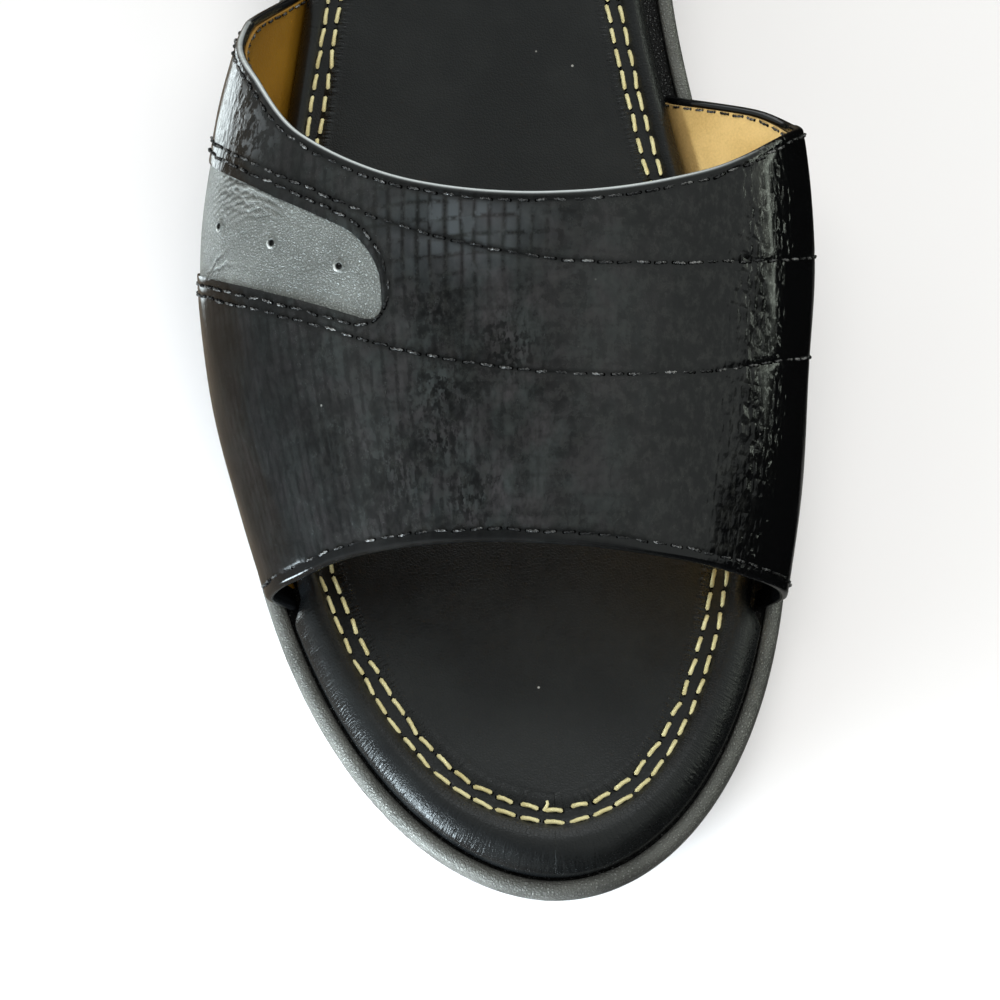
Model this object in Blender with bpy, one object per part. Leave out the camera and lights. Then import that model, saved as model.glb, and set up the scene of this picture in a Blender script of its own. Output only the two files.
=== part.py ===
# Wedge slide sandal for the right foot: outsole, wedge, footbed, strap upper and its inset panel.
# Sizes are in millimetres here and become metres when a mesh is made.
# The toe points to -Y, the big toe side to +X, and Z is up from the floor.
# A station is a distance back from the toe tip, along the shoe.
from bisect import bisect_right
from collections import namedtuple
from math import cos, hypot, pi, sin

import bpy
from mathutils import Vector

MM = 0.001

# Overall sizes
LENGTH = 255.0
PLATFORM_HEIGHT = 18.0
HEEL_RISE = 32.0
RISE_START = 75.0
RISE_LENGTH = 150.0
TOE_SPRING_TOP = 4.0
TOE_SPRING_UNDER = 6.0
TOE_SPRING_LENGTH = 55.0
HEEL_BEVEL_LENGTH = 7.0
HEEL_BEVEL_LIFT = 1.2
OUTSOLE_THICKNESS = 3.0
SEAT_GAP = 0.3

# Plan outline of the rim
TOE_TIP_X = 8.3
TOE_LATERAL_POWER = 1.9
TOE_MEDIAL_POWER = 2.05
BALL_LATERAL_STATION = 93.0
BALL_LATERAL_X = -44.6
BALL_MEDIAL_STATION = 70.0
BALL_MEDIAL_X = 47.2
WAIST_STATION = 168.0
WAIST_X = 28.4
HEEL_LATERAL_STATION = 205.0
HEEL_LATERAL_X = -32.5
HEEL_MEDIAL_STATION = 208.0
HEEL_MEDIAL_X = 29.8
HEEL_TIP_X = -1.4
HEEL_POWER = 2.3
STATION_STEPS = 40

# Wedge wall, rim and tray
TOE_TAPER = 5.5
SIDE_TAPER = 3.2
HEEL_TAPER = 6.5
RIM_DEPTH = 3.6
LIP_WIDTH = 2.7
TRAY_DEPTH = 2.0
OUTSOLE_INSET = 0.8
OUTSOLE_EDGE = 0.7

# Footbed
FOOTBED_INSET_TOE = 3.3
FOOTBED_INSET_STRAP = 5.6
STRAP_ZONE_START = 14.0
STRAP_ZONE_FRONT = 48.0
STRAP_ZONE_BACK = 158.0
STRAP_ZONE_END = 180.0
HEEL_CUP_DEPTH = 2.0
HEEL_CUP_STATION = 202.0
HEEL_CUP_LENGTH = 36.0
FIELD_COLUMNS = 4

# Strap upper
WALL = 2.2
STRAP_INSET = 3.0
WIDEST_RISE_AT_FRONT = 8.0
WIDEST_FRONT_STATION = 48.0
WIDEST_SLOPE = 0.28
LATERAL_WIDEST_GIRTH = 0.125
APEX_GIRTH = 0.54
MEDIAL_WIDEST_GIRTH = 0.875
LATERAL_POWER = 1.9
MEDIAL_POWER = 2.2
EDGE_ROUND = 1.1
EDGE_SHOULDER_IN = 0.35
EDGE_SHOULDER_DROP = 0.28
SLOPE_STEP = 0.5
GIRTH_STEP = 0.004
GIRTH_STEPS_SIDE = 7
GIRTH_STEPS_TOP = 19
OUTER_ROWS = 10
INNER_ROWS = 8

# Window in the strap and the panel in it
WINDOW_END_GIRTH = 0.403
WINDOW_FRONT_MARGIN = 3.0
WINDOW_BACK_MARGIN = 3.4
WINDOW_BACK_CORNER = 5.8
WINDOW_FRONT_CORNER = 2.9
WINDOW_BACK_CORNER_GIRTH = 0.032
WINDOW_FRONT_CORNER_GIRTH = 0.017
WINDOW_BELOW_GIRTH = -0.06
POCKET_DEPTH = 1.5
POCKET_CUT_HEIGHT = 2.0
PANEL_TOP_DEPTH = 0.7
PANEL_THICKNESS = 0.5
PANEL_MARGIN = 0.3
PANEL_END_GIRTH_MARGIN = 0.002
PANEL_FOOT_GIRTH = 0.004
WINDOW_ROWS = 5
WINDOW_STEPS = 16
CORNER_STEPS = 6

# Strap sections: apex of the arch and widest reach on each side, at stations along the shoe
Section = namedtuple("Section", "station apex_x apex_rise reach_lateral reach_medial")
SECTIONS = (
    Section(40.0, 6.0, 25.5, -34.4, 44.0),
    Section(60.0, 7.5, 36.0, -41.2, 47.4),
    Section(80.0, 8.5, 45.0, -46.5, 49.0),
    Section(100.0, 9.0, 54.0, -48.4, 50.2),
    Section(120.0, 9.0, 62.0, -45.8, 48.1),
    Section(140.0, 8.0, 69.5, -40.9, 43.2),
    Section(160.0, 6.0, 76.0, -37.4, 37.0),
)

# Strap edges and sewn lines: stations at shares of the girth, from the outer side over to the inner side
Edge = namedtuple("Edge", "girth front sewn_front sewn_back back")
EDGES = (
    Edge(0.000, 48.0, 101.0, 126.0, 156.0),
    Edge(0.125, 46.6, 94.4, 119.0, 137.9),
    Edge(0.250, 46.4, 86.7, 108.9, 121.6),
    Edge(0.330, 47.5, 81.2, 101.0, 108.2),
    Edge(0.430, 48.0, 74.2, 91.2, 98.2),
    Edge(0.540, 47.5, 70.6, 86.0, 95.4),
    Edge(0.650, 46.2, 71.9, 87.1, 99.9),
    Edge(0.760, 45.6, 77.2, 91.8, 110.2),
    Edge(0.875, 46.8, 84.0, 99.7, 121.0),
    Edge(0.920, 47.3, 86.9, 103.3, 127.8),
    Edge(1.000, 48.2, 92.0, 110.0, 138.0),
)

# Wedge wall from the sole up to the rim: share of the taper and share of the wall height
WallRing = namedtuple("WallRing", "taper_share height_share")
WALL_RINGS = (
    WallRing(1.00, 0.00),
    WallRing(0.78, 0.25),
    WallRing(0.48, 0.60),
    WallRing(0.24, 1.00),
)

# Rounded rim from its outer foot over to the tray: inset from the outline and drop from the rim top
RimRing = namedtuple("RimRing", "inset drop")
RIM_RINGS = (
    RimRing(0.15, 3.0),
    RimRing(0.0, 2.1),
    RimRing(0.25, 1.0),
    RimRing(0.85, 0.25),
    RimRing(1.5, 0.0),
    RimRing(2.2, 0.3),
    RimRing(LIP_WIDTH, 1.0),
    RimRing(LIP_WIDTH, TRAY_DEPTH),
)

# Footbed edge: distance in from its own outline and height over the tray floor
RollRing = namedtuple("RollRing", "inset rise")
ROLL_RINGS = (
    RollRing(0.35, SEAT_GAP),
    RollRing(0.0, 1.6),
    RollRing(0.0, 3.6),
    RollRing(0.5, 5.6),
    RollRing(1.8, 7.2),
    RollRing(3.8, 7.9),
    RollRing(5.8, 7.5),
    RollRing(7.8, 6.5),
    RollRing(9.6, 6.8),
    RollRing(12.0, 7.2),
)


def smooth_step(share):
    share = min(1.0, max(0.0, share))
    return share * share * (3.0 - 2.0 * share)


def table_value(rows, column, position):
    """Smooth curve through one column of a table whose first column is the position."""
    keys = [row[0] for row in rows]
    values = [getattr(row, column) for row in rows]
    index = min(max(bisect_right(keys, position) - 1, 0), len(keys) - 2)

    def slope(at):
        before = max(at - 1, 0)
        after = min(at + 1, len(keys) - 1)
        return (values[after] - values[before]) / (keys[after] - keys[before])

    span = keys[index + 1] - keys[index]
    share = (position - keys[index]) / span
    start_weight = (1.0 + 2.0 * share) * (1.0 - share) ** 2
    end_weight = share * share * (3.0 - 2.0 * share)
    start_pull = share * (1.0 - share) ** 2 * span * slope(index)
    end_pull = share * share * (share - 1.0) * span * slope(index + 1)
    return start_weight * values[index] + end_weight * values[index + 1] + start_pull + end_pull


def toe_curve(station, ball_station, ball_x, power):
    forward = max(0.0, (ball_station - station) / ball_station)
    across = max(0.0, 1.0 - forward ** power) ** (1.0 / power)
    return TOE_TIP_X + (ball_x - TOE_TIP_X) * across


def heel_curve(station, start_station, start_x):
    back = min(1.0, (station - start_station) / (LENGTH - start_station))
    across = max(0.0, 1.0 - back ** HEEL_POWER) ** (1.0 / HEEL_POWER)
    return HEEL_TIP_X + (start_x - HEEL_TIP_X) * across


def blend(station, start_station, start_x, end_station, end_x):
    share = smooth_step((station - start_station) / (end_station - start_station))
    return start_x + (end_x - start_x) * share


def lateral_rim(station):
    if station < BALL_LATERAL_STATION:
        return toe_curve(station, BALL_LATERAL_STATION, BALL_LATERAL_X, TOE_LATERAL_POWER)
    if station < HEEL_LATERAL_STATION:
        return blend(station, BALL_LATERAL_STATION, BALL_LATERAL_X, HEEL_LATERAL_STATION, HEEL_LATERAL_X)
    return heel_curve(station, HEEL_LATERAL_STATION, HEEL_LATERAL_X)


def medial_rim(station):
    if station < BALL_MEDIAL_STATION:
        return toe_curve(station, BALL_MEDIAL_STATION, BALL_MEDIAL_X, TOE_MEDIAL_POWER)
    if station < WAIST_STATION:
        return blend(station, BALL_MEDIAL_STATION, BALL_MEDIAL_X, WAIST_STATION, WAIST_X)
    if station < HEEL_MEDIAL_STATION:
        return blend(station, WAIST_STATION, WAIST_X, HEEL_MEDIAL_STATION, HEEL_MEDIAL_X)
    return heel_curve(station, HEEL_MEDIAL_STATION, HEEL_MEDIAL_X)


def rim_height(station):
    toe = max(0.0, (TOE_SPRING_LENGTH - station) / TOE_SPRING_LENGTH)
    heel = smooth_step((station - RISE_START) / RISE_LENGTH)
    return PLATFORM_HEIGHT + TOE_SPRING_TOP * toe * toe + HEEL_RISE * heel


def under_height(station):
    """Underside of the outsole: flat from ball to heel, sprung at the toe, eased at the very back."""
    toe = max(0.0, (TOE_SPRING_LENGTH - station) / TOE_SPRING_LENGTH)
    heel = max(0.0, (station - LENGTH + HEEL_BEVEL_LENGTH) / HEEL_BEVEL_LENGTH)
    return TOE_SPRING_UNDER * toe * toe + HEEL_BEVEL_LIFT * heel * heel


def wall_taper(station):
    toe = 1.0 - smooth_step(station / TOE_SPRING_LENGTH)
    heel = smooth_step((station - WAIST_STATION) / (LENGTH - WAIST_STATION))
    return SIDE_TAPER + (TOE_TAPER - SIDE_TAPER) * toe + (HEEL_TAPER - SIDE_TAPER) * heel


def footbed_inset(station):
    front = smooth_step((station - STRAP_ZONE_START) / (STRAP_ZONE_FRONT - STRAP_ZONE_START))
    back = smooth_step((STRAP_ZONE_END - station) / (STRAP_ZONE_END - STRAP_ZONE_BACK))
    return FOOTBED_INSET_TOE + (FOOTBED_INSET_STRAP - FOOTBED_INSET_TOE) * front * back


def outline():
    """Rim outline as (x, station, inward x, inward station): toe, outer side, heel, inner side."""
    stations = [LENGTH * (1.0 - cos(pi * step / STATION_STEPS)) / 2.0 for step in range(STATION_STEPS + 1)]
    loop = [(TOE_TIP_X, 0.0)]
    loop += [(lateral_rim(station), station) for station in stations[1:-1]]
    loop += [(HEEL_TIP_X, LENGTH)]
    loop += [(medial_rim(station), station) for station in reversed(stations[1:-1])]
    result = []
    for index, (x, station) in enumerate(loop):
        before = loop[index - 1]
        after = loop[(index + 1) % len(loop)]
        run_x = after[0] - before[0]
        run_station = after[1] - before[1]
        size = hypot(run_x, run_station)
        result.append((x, station, run_station / size, -run_x / size))
    return result


def ring(loop, inset, height):
    """Ring of points inside the outline; inset and height are functions of the station."""
    points = []
    for x, station, in_x, in_station in loop:
        step = inset(station)
        at = station + in_station * step
        points.append((x + in_x * step, at, height(at)))
    return points


def to_world(point):
    x, station, height = point
    return Vector((x, station - LENGTH / 2.0, height)) * MM


def make_object(name, points, faces, material, collection):
    mesh = bpy.data.meshes.new(name)
    mesh.from_pydata([to_world(point) for point in points], [], faces)
    mesh.validate()
    mesh.materials.append(material)
    item = bpy.data.objects.new(name, mesh)
    collection.objects.link(item)
    return item


def ring_walls(count, size):
    faces = []
    for level in range(count - 1):
        for index in range(size):
            following = (index + 1) % size
            low = level * size
            high = low + size
            faces.append((low + index, high + index, high + following, low + following))
    return faces


def ladder_cap(start, facing_up):
    """Cap a ring with rungs from the outer side to the inner side."""
    half = STATION_STEPS
    size = 2 * half
    faces = [(start, start + 1, start + size - 1)]
    for step in range(1, half - 1):
        faces.append((start + step, start + step + 1, start + size - step - 1, start + size - step))
    faces.append((start + half - 1, start + half, start + half + 1))
    if facing_up:
        return [tuple(reversed(face)) for face in faces]
    return faces


def loft(name, rings, material, collection):
    """Closed solid from rings, the first ring underneath and the last ring on top."""
    size = len(rings[0])
    points = [point for level in rings for point in level]
    faces = ring_walls(len(rings), size)
    faces += ladder_cap(0, False)
    faces += ladder_cap(size * (len(rings) - 1), True)
    return make_object(name, points, faces, material, collection)


def make_outsole(loop, material, collection):
    def low_inset(station):
        return wall_taper(station) + OUTSOLE_INSET + OUTSOLE_EDGE

    def side_inset(station):
        return wall_taper(station) + OUTSOLE_INSET

    def edge_height(station):
        return under_height(station) + OUTSOLE_EDGE

    def top_height(station):
        return under_height(station) + OUTSOLE_THICKNESS - SEAT_GAP

    rings = [ring(loop, low_inset, under_height)]
    rings += [ring(loop, side_inset, edge_height)]
    rings += [ring(loop, side_inset, top_height)]
    return loft("outsole", rings, material, collection)


def make_wedge(loop, material, collection):
    rings = []
    for row in WALL_RINGS:
        def wall_inset(station):
            return wall_taper(station) * row.taper_share

        def wall_height(station):
            foot = under_height(station) + OUTSOLE_THICKNESS
            head = rim_height(station) - RIM_DEPTH
            return foot + (head - foot) * row.height_share

        rings.append(ring(loop, wall_inset, wall_height))
    for row in RIM_RINGS:
        rings.append(ring(loop, lambda station: row.inset, lambda station: rim_height(station) - row.drop))
    return loft("wedge", rings, material, collection)


def heel_cup(station):
    reach = (station - HEEL_CUP_STATION) / HEEL_CUP_LENGTH
    return HEEL_CUP_DEPTH * (1.0 - smooth_step(abs(reach)))


def make_footbed(loop, material, collection):
    rings = []
    for row in ROLL_RINGS:
        def roll_inset(station):
            return footbed_inset(station) + row.inset

        def roll_height(station):
            return rim_height(station) - TRAY_DEPTH + row.rise

        rings.append(ring(loop, roll_inset, roll_height))
    size = 2 * STATION_STEPS
    points = [point for level in rings for point in level]
    faces = ring_walls(len(rings), size)
    faces += ladder_cap(0, False)
    start = size * (len(rings) - 1)
    field = []
    for step in range(1, STATION_STEPS):
        outer = points[start + step]
        inner = points[start + size - step]
        row = [start + step]
        for column in range(1, FIELD_COLUMNS):
            share = column / FIELD_COLUMNS
            x = outer[0] + (inner[0] - outer[0]) * share
            station = outer[1] + (inner[1] - outer[1]) * share
            height = outer[2] + (inner[2] - outer[2]) * share
            dip = heel_cup(station) * 4.0 * share * (1.0 - share)
            row.append(len(points))
            points.append((x, station, height - dip))
        row.append(start + size - step)
        field.append(row)
    toe = start
    heel = start + STATION_STEPS
    for column in range(FIELD_COLUMNS):
        faces.append((toe, field[0][column + 1], field[0][column]))
        faces.append((field[-1][column], field[-1][column + 1], heel))
        for low, high in zip(field, field[1:]):
            faces.append((low[column], low[column + 1], high[column + 1], high[column]))
    return make_object("footbed", points, faces, material, collection)


def strap_foot(rim, side, station):
    """Where the strap's outer face meets the tray, a fixed distance inside the rim outline."""
    slope = (rim(station + SLOPE_STEP) - rim(station - SLOPE_STEP)) / (2.0 * SLOPE_STEP)
    return rim(station) - side * STRAP_INSET * hypot(1.0, slope)


def strap_point(station, girth):
    """Outer face of the strap as a point (x, station, height), at a share of the girth."""
    apex_x = table_value(SECTIONS, "apex_x", station)
    apex_height = PLATFORM_HEIGHT + table_value(SECTIONS, "apex_rise", station)
    lateral = table_value(SECTIONS, "reach_lateral", station)
    medial = table_value(SECTIONS, "reach_medial", station)
    widest = PLATFORM_HEIGHT + WIDEST_RISE_AT_FRONT + WIDEST_SLOPE * (station - WIDEST_FRONT_STATION)
    foot_height = rim_height(station) - TRAY_DEPTH + SEAT_GAP
    if girth < LATERAL_WIDEST_GIRTH:
        share = girth / LATERAL_WIDEST_GIRTH
        foot = strap_foot(lateral_rim, -1.0, station)
        x = foot + (lateral - foot) * smooth_step(share)
        return Vector((x, station, foot_height + (widest - foot_height) * share))
    if girth > MEDIAL_WIDEST_GIRTH:
        share = (1.0 - girth) / (1.0 - MEDIAL_WIDEST_GIRTH)
        foot = strap_foot(medial_rim, 1.0, station)
        x = foot + (medial - foot) * smooth_step(share)
        return Vector((x, station, foot_height + (widest - foot_height) * share))
    if girth < APEX_GIRTH:
        angle = pi / 2.0 * (girth - LATERAL_WIDEST_GIRTH) / (APEX_GIRTH - LATERAL_WIDEST_GIRTH)
        reach = lateral
        power = 2.0 / LATERAL_POWER
    else:
        angle = pi / 2.0 * (MEDIAL_WIDEST_GIRTH - girth) / (MEDIAL_WIDEST_GIRTH - APEX_GIRTH)
        reach = medial
        power = 2.0 / MEDIAL_POWER
    across = max(0.0, cos(angle)) ** power
    upward = max(0.0, sin(angle)) ** power
    return Vector((apex_x + (reach - apex_x) * across, station, widest + (apex_height - widest) * upward))


def strap_normal(station, girth):
    along = strap_point(station + SLOPE_STEP, girth) - strap_point(station - SLOPE_STEP, girth)
    around = strap_point(station, girth + GIRTH_STEP) - strap_point(station, girth - GIRTH_STEP)
    return along.cross(around).normalized() * -1.0


def strap_offset(station, girth, lift):
    return strap_point(station, girth) + strap_normal(station, girth) * lift


def girth_steps():
    steps = [LATERAL_WIDEST_GIRTH * step / GIRTH_STEPS_SIDE for step in range(GIRTH_STEPS_SIDE)]
    top = MEDIAL_WIDEST_GIRTH - LATERAL_WIDEST_GIRTH
    count = 2 * GIRTH_STEPS_TOP
    steps += [LATERAL_WIDEST_GIRTH + top * step / count for step in range(count)]
    side = 1.0 - MEDIAL_WIDEST_GIRTH
    steps += [MEDIAL_WIDEST_GIRTH + side * step / GIRTH_STEPS_SIDE for step in range(GIRTH_STEPS_SIDE + 1)]
    return steps


def make_upper(material, collection):
    """One closed wall: outer rows from front to back, then inner rows from back to front."""
    shoulder_in = EDGE_ROUND * EDGE_SHOULDER_IN
    shoulder_drop = EDGE_ROUND * EDGE_SHOULDER_DROP
    grid = []
    for girth in girth_steps():
        front = table_value(EDGES, "front", girth)
        back = table_value(EDGES, "back", girth)
        column = [strap_offset(front, girth, -EDGE_ROUND)]
        column.append(strap_offset(front + shoulder_in, girth, -shoulder_drop))
        first = front + EDGE_ROUND
        last = back - EDGE_ROUND
        for row in range(OUTER_ROWS + 1):
            column.append(strap_offset(first + (last - first) * row / OUTER_ROWS, girth, 0.0))
        column.append(strap_offset(back - shoulder_in, girth, -shoulder_drop))
        column.append(strap_offset(back, girth, -EDGE_ROUND))
        for row in range(INNER_ROWS + 1):
            column.append(strap_offset(back + (front - back) * row / INNER_ROWS, girth, -WALL))
        grid.append(column)
    rows = len(grid[0])
    points = [tuple(point) for column in grid for point in column]
    faces = []
    for column in range(len(grid) - 1):
        for row in range(rows):
            following = (row + 1) % rows
            low = column * rows
            high = low + rows
            faces.append((low + row, high + row, high + following, low + following))
    outer = rows - INNER_ROWS - 1
    faces += end_faces(0, outer, rows, True)
    faces += end_faces(rows * (len(grid) - 1), outer, rows, False)
    return make_object("upper", points, faces, material, collection)


def end_faces(start, outer, rows, turned):
    """Close the foot of the wall between its outer row and its inner row, both run front to back."""
    outer_row = [start + index for index in range(outer)]
    inner_row = [start + index for index in range(rows - 1, outer - 1, -1)]
    faces = []
    low = 0
    high = 0
    while low < len(outer_row) - 1 or high < len(inner_row) - 1:
        low_share = (low + 1) / (len(outer_row) - 1) if low < len(outer_row) - 1 else 2.0
        high_share = (high + 1) / (len(inner_row) - 1) if high < len(inner_row) - 1 else 2.0
        if low_share <= high_share:
            face = (outer_row[low], inner_row[high], outer_row[low + 1])
            low += 1
        else:
            face = (outer_row[low], inner_row[high], inner_row[high + 1])
            high += 1
        faces.append(tuple(reversed(face)) if turned else face)
    return faces


def corner_drop(girth, end, corner_girth, corner):
    """How far a rounded window corner has turned in from its straight side."""
    reach = (girth - end + corner_girth) / corner_girth
    if reach <= 0.0:
        return 0.0
    return corner * (1.0 - (1.0 - min(reach, 1.0) ** 2) ** 0.5)


def window_sides(girth, end, margin):
    front = table_value(EDGES, "sewn_front", max(girth, 0.0)) + WINDOW_FRONT_MARGIN + margin
    back = table_value(EDGES, "sewn_back", max(girth, 0.0)) - WINDOW_BACK_MARGIN - margin
    front += corner_drop(girth, end, WINDOW_FRONT_CORNER_GIRTH, WINDOW_FRONT_CORNER)
    back -= corner_drop(girth, end, WINDOW_BACK_CORNER_GIRTH, WINDOW_BACK_CORNER)
    return front, back


def make_window_solid(name, foot, end, margin, low, high, material, collection):
    """Curved slab on the strap's own surface, from low to high above it, in the window's outline."""
    turn = end - WINDOW_BACK_CORNER_GIRTH
    girths = [foot + (turn - foot) * step / WINDOW_STEPS for step in range(WINDOW_STEPS)]
    girths += [turn + WINDOW_BACK_CORNER_GIRTH * sin(pi / 2.0 * step / CORNER_STEPS)
               for step in range(CORNER_STEPS + 1)]
    points = []
    for lift in (low, high):
        for girth in girths:
            front, back = window_sides(girth, end, margin)
            for row in range(WINDOW_ROWS + 1):
                station = front + (back - front) * row / WINDOW_ROWS
                points.append(tuple(strap_offset(station, girth, lift)))
    width = WINDOW_ROWS + 1
    layer = width * len(girths)
    faces = []
    for column in range(len(girths) - 1):
        for row in range(WINDOW_ROWS):
            corner = column * width + row
            face = (corner, corner + 1, corner + width + 1, corner + width)
            faces.append(face)
            faces.append(tuple(layer + index for index in reversed(face)))
    border = [column * width for column in range(len(girths))]
    border += [(len(girths) - 1) * width + row for row in range(1, width)]
    border += [column * width + WINDOW_ROWS for column in range(len(girths) - 2, -1, -1)]
    border += [row for row in range(WINDOW_ROWS - 1, 0, -1)]
    for index, corner in enumerate(border):
        following = border[(index + 1) % len(border)]
        faces.append((corner, following, layer + following, layer + corner))
    return make_object(name, points, faces, material, collection)


def make_material(name, color, roughness, metallic, coat):
    material = bpy.data.materials.new(name)
    material.use_nodes = True
    shader = material.node_tree.nodes["Principled BSDF"]
    shader.inputs["Base Color"].default_value = (*color, 1.0)
    shader.inputs["Roughness"].default_value = roughness
    shader.inputs["Metallic"].default_value = metallic
    shader.inputs["Coat Weight"].default_value = coat
    return material


def make_collection(name):
    collection = bpy.data.collections.new(name)
    bpy.context.scene.collection.children.link(collection)
    return collection


def center_on_floor(pieces, cutter, collection):
    """Parent everything to an empty that puts the middle of the shoe's width on the Y axis."""
    across = [vertex.co.x for piece in pieces for vertex in piece.data.vertices]
    anchor = bpy.data.objects.new("sandal_anchor", None)
    anchor.location.x = -(min(across) + max(across)) / 2.0
    collection.objects.link(anchor)
    for item in (*pieces, cutter):
        item.parent = anchor


def main():
    for item in list(bpy.data.objects):
        bpy.data.objects.remove(item, do_unlink=True)
    sandal = make_collection("wedge_slide_sandal")
    cutters = make_collection("cutters")
    rubber = make_material("black_rubber", (0.02, 0.02, 0.02), 0.6, 0.0, 0.0)
    pewter = make_material("pewter_leather", (0.30, 0.30, 0.28), 0.45, 0.6, 0.0)
    leather = make_material("black_leather", (0.015, 0.015, 0.017), 0.42, 0.0, 0.0)
    patent = make_material("patent_leather", (0.012, 0.012, 0.013), 0.25, 0.0, 1.0)
    loop = outline()
    outsole = make_outsole(loop, rubber, sandal)
    wedge = make_wedge(loop, pewter, sandal)
    footbed = make_footbed(loop, leather, sandal)
    upper = make_upper(patent, sandal)
    inset = make_window_solid(
        "inset", PANEL_FOOT_GIRTH, WINDOW_END_GIRTH - PANEL_END_GIRTH_MARGIN, PANEL_MARGIN,
        -PANEL_TOP_DEPTH - PANEL_THICKNESS, -PANEL_TOP_DEPTH, pewter, sandal)
    pocket = make_window_solid(
        "window_pocket", WINDOW_BELOW_GIRTH, WINDOW_END_GIRTH, 0.0,
        -POCKET_DEPTH, POCKET_CUT_HEIGHT, patent, cutters)
    pocket.hide_render = True
    pocket.display_type = "WIRE"
    cut = upper.modifiers.new("window", "BOOLEAN")
    cut.operation = "DIFFERENCE"
    cut.solver = "EXACT"
    cut.object = pocket
    center_on_floor((outsole, wedge, footbed, upper, inset), pocket, sandal)


main()
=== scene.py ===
import math
import bpy
import numpy as np
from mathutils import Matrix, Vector, kdtree


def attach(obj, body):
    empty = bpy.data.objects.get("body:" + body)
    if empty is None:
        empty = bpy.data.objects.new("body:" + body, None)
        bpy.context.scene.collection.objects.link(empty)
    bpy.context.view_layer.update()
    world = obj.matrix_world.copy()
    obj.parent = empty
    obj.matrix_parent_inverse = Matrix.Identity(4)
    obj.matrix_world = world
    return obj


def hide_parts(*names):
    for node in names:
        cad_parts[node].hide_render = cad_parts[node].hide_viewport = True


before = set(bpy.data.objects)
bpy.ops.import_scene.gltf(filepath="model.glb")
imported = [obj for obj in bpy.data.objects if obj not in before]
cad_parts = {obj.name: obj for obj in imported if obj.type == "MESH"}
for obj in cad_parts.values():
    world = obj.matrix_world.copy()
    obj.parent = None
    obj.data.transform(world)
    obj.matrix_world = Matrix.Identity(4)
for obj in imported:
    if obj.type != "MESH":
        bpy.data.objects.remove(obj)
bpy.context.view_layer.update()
print("frame loaded")

mm = 0.001
shoe = dict(length=255.0, centreX=-0.92, platform=18.0, heelRise=32.0, riseStart=75.0, riseLength=150.0,
            toeSpringTop=4.0, toeSpringUnder=6.0, toeSpringLength=55.0, heelBevel=7.0, heelBevelLift=1.2,
            outsole=3.0, seatGap=0.3, trayDepth=2.0)
plan = dict(toeX=8.3, heelX=-1.4, heelPower=2.3, lateralPower=1.9, lateralAt=(93.0, 205.0),
            lateralX=(-44.6, -32.5), medialPower=2.05, medialAt=(70.0, 168.0, 208.0),
            medialX=(47.2, 28.4, 29.8))
waistAt = plan["medialAt"][1]


def ease(share):
    share = np.clip(share, 0.0, 1.0)
    return share * share * (3.0 - 2.0 * share)


def fade(values, start, reach):  # none at start, all a reach further on
    return ease((values - start) / reach)


def bell(distance, width):
    return np.exp(-(distance / width) ** 2)


def unit(vectors):
    return vectors / np.linalg.norm(vectors, axis=-1, keepdims=True)


def lengthAlong(points):
    return np.concatenate(((0.0,), np.cumsum(np.linalg.norm(np.diff(points, axis=0), axis=1))))


def curveThrough(keys, values, at):  # smooth curve through a short table
    keys = np.asarray(keys, float)
    values = np.asarray(values, float)
    at = np.asarray(at, float)
    slopes = np.empty_like(values)
    slopes[1:-1] = (values[2:] - values[:-2]) / (keys[2:] - keys[:-2])
    slopes[0] = (values[1] - values[0]) / (keys[1] - keys[0])
    slopes[-1] = (values[-1] - values[-2]) / (keys[-1] - keys[-2])
    low = np.clip(np.searchsorted(keys, at, side="right") - 1, 0, len(keys) - 2)
    span = keys[low + 1] - keys[low]
    t = (at - keys[low]) / span
    straight = (1 + 2 * t) * (1 - t) ** 2 * values[low] + t * t * (3 - 2 * t) * values[low + 1]
    return straight + span * (t * (1 - t) ** 2 * slopes[low] + t * t * (t - 1) * slopes[low + 1])


def toeCurve(s, ballAt, ballX, power):
    forward = np.clip((ballAt - s) / ballAt, 0.0, 1.0)
    return plan["toeX"] + (ballX - plan["toeX"]) * (1.0 - forward ** power) ** (1.0 / power)


def heelCurve(s, startAt, startX):
    back = np.clip((s - startAt) / (shoe["length"] - startAt), 0.0, 1.0)
    power = plan["heelPower"]
    return plan["heelX"] + (startX - plan["heelX"]) * (1.0 - back ** power) ** (1.0 / power)


def rimLine(s, keys, values, power):  # toe, one or two eased stretches, heel
    x = toeCurve(s, keys[0], values[0], power)
    for at, nextAt, fromX, toX in zip(keys, keys[1:], values, values[1:]):
        x = np.where(s < at, x, fromX + (toX - fromX) * fade(s, at, nextAt - at))
    return np.where(s < keys[-1], x, heelCurve(s, keys[-1], values[-1]))


def lateralRim(s):
    return rimLine(s, plan["lateralAt"], plan["lateralX"], plan["lateralPower"])


def medialRim(s):
    return rimLine(s, plan["medialAt"], plan["medialX"], plan["medialPower"])


def toeSpring(s):
    return np.maximum(0.0, (shoe["toeSpringLength"] - s) / shoe["toeSpringLength"]) ** 2


def rimHeight(s):
    heel = fade(s, shoe["riseStart"], shoe["riseLength"])
    return shoe["platform"] + shoe["toeSpringTop"] * toeSpring(s) + shoe["heelRise"] * heel


def underHeight(s):
    heel = np.maximum(0.0, (s - shoe["length"] + shoe["heelBevel"]) / shoe["heelBevel"])
    return shoe["toeSpringUnder"] * toeSpring(s) + shoe["heelBevelLift"] * heel ** 2


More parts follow.
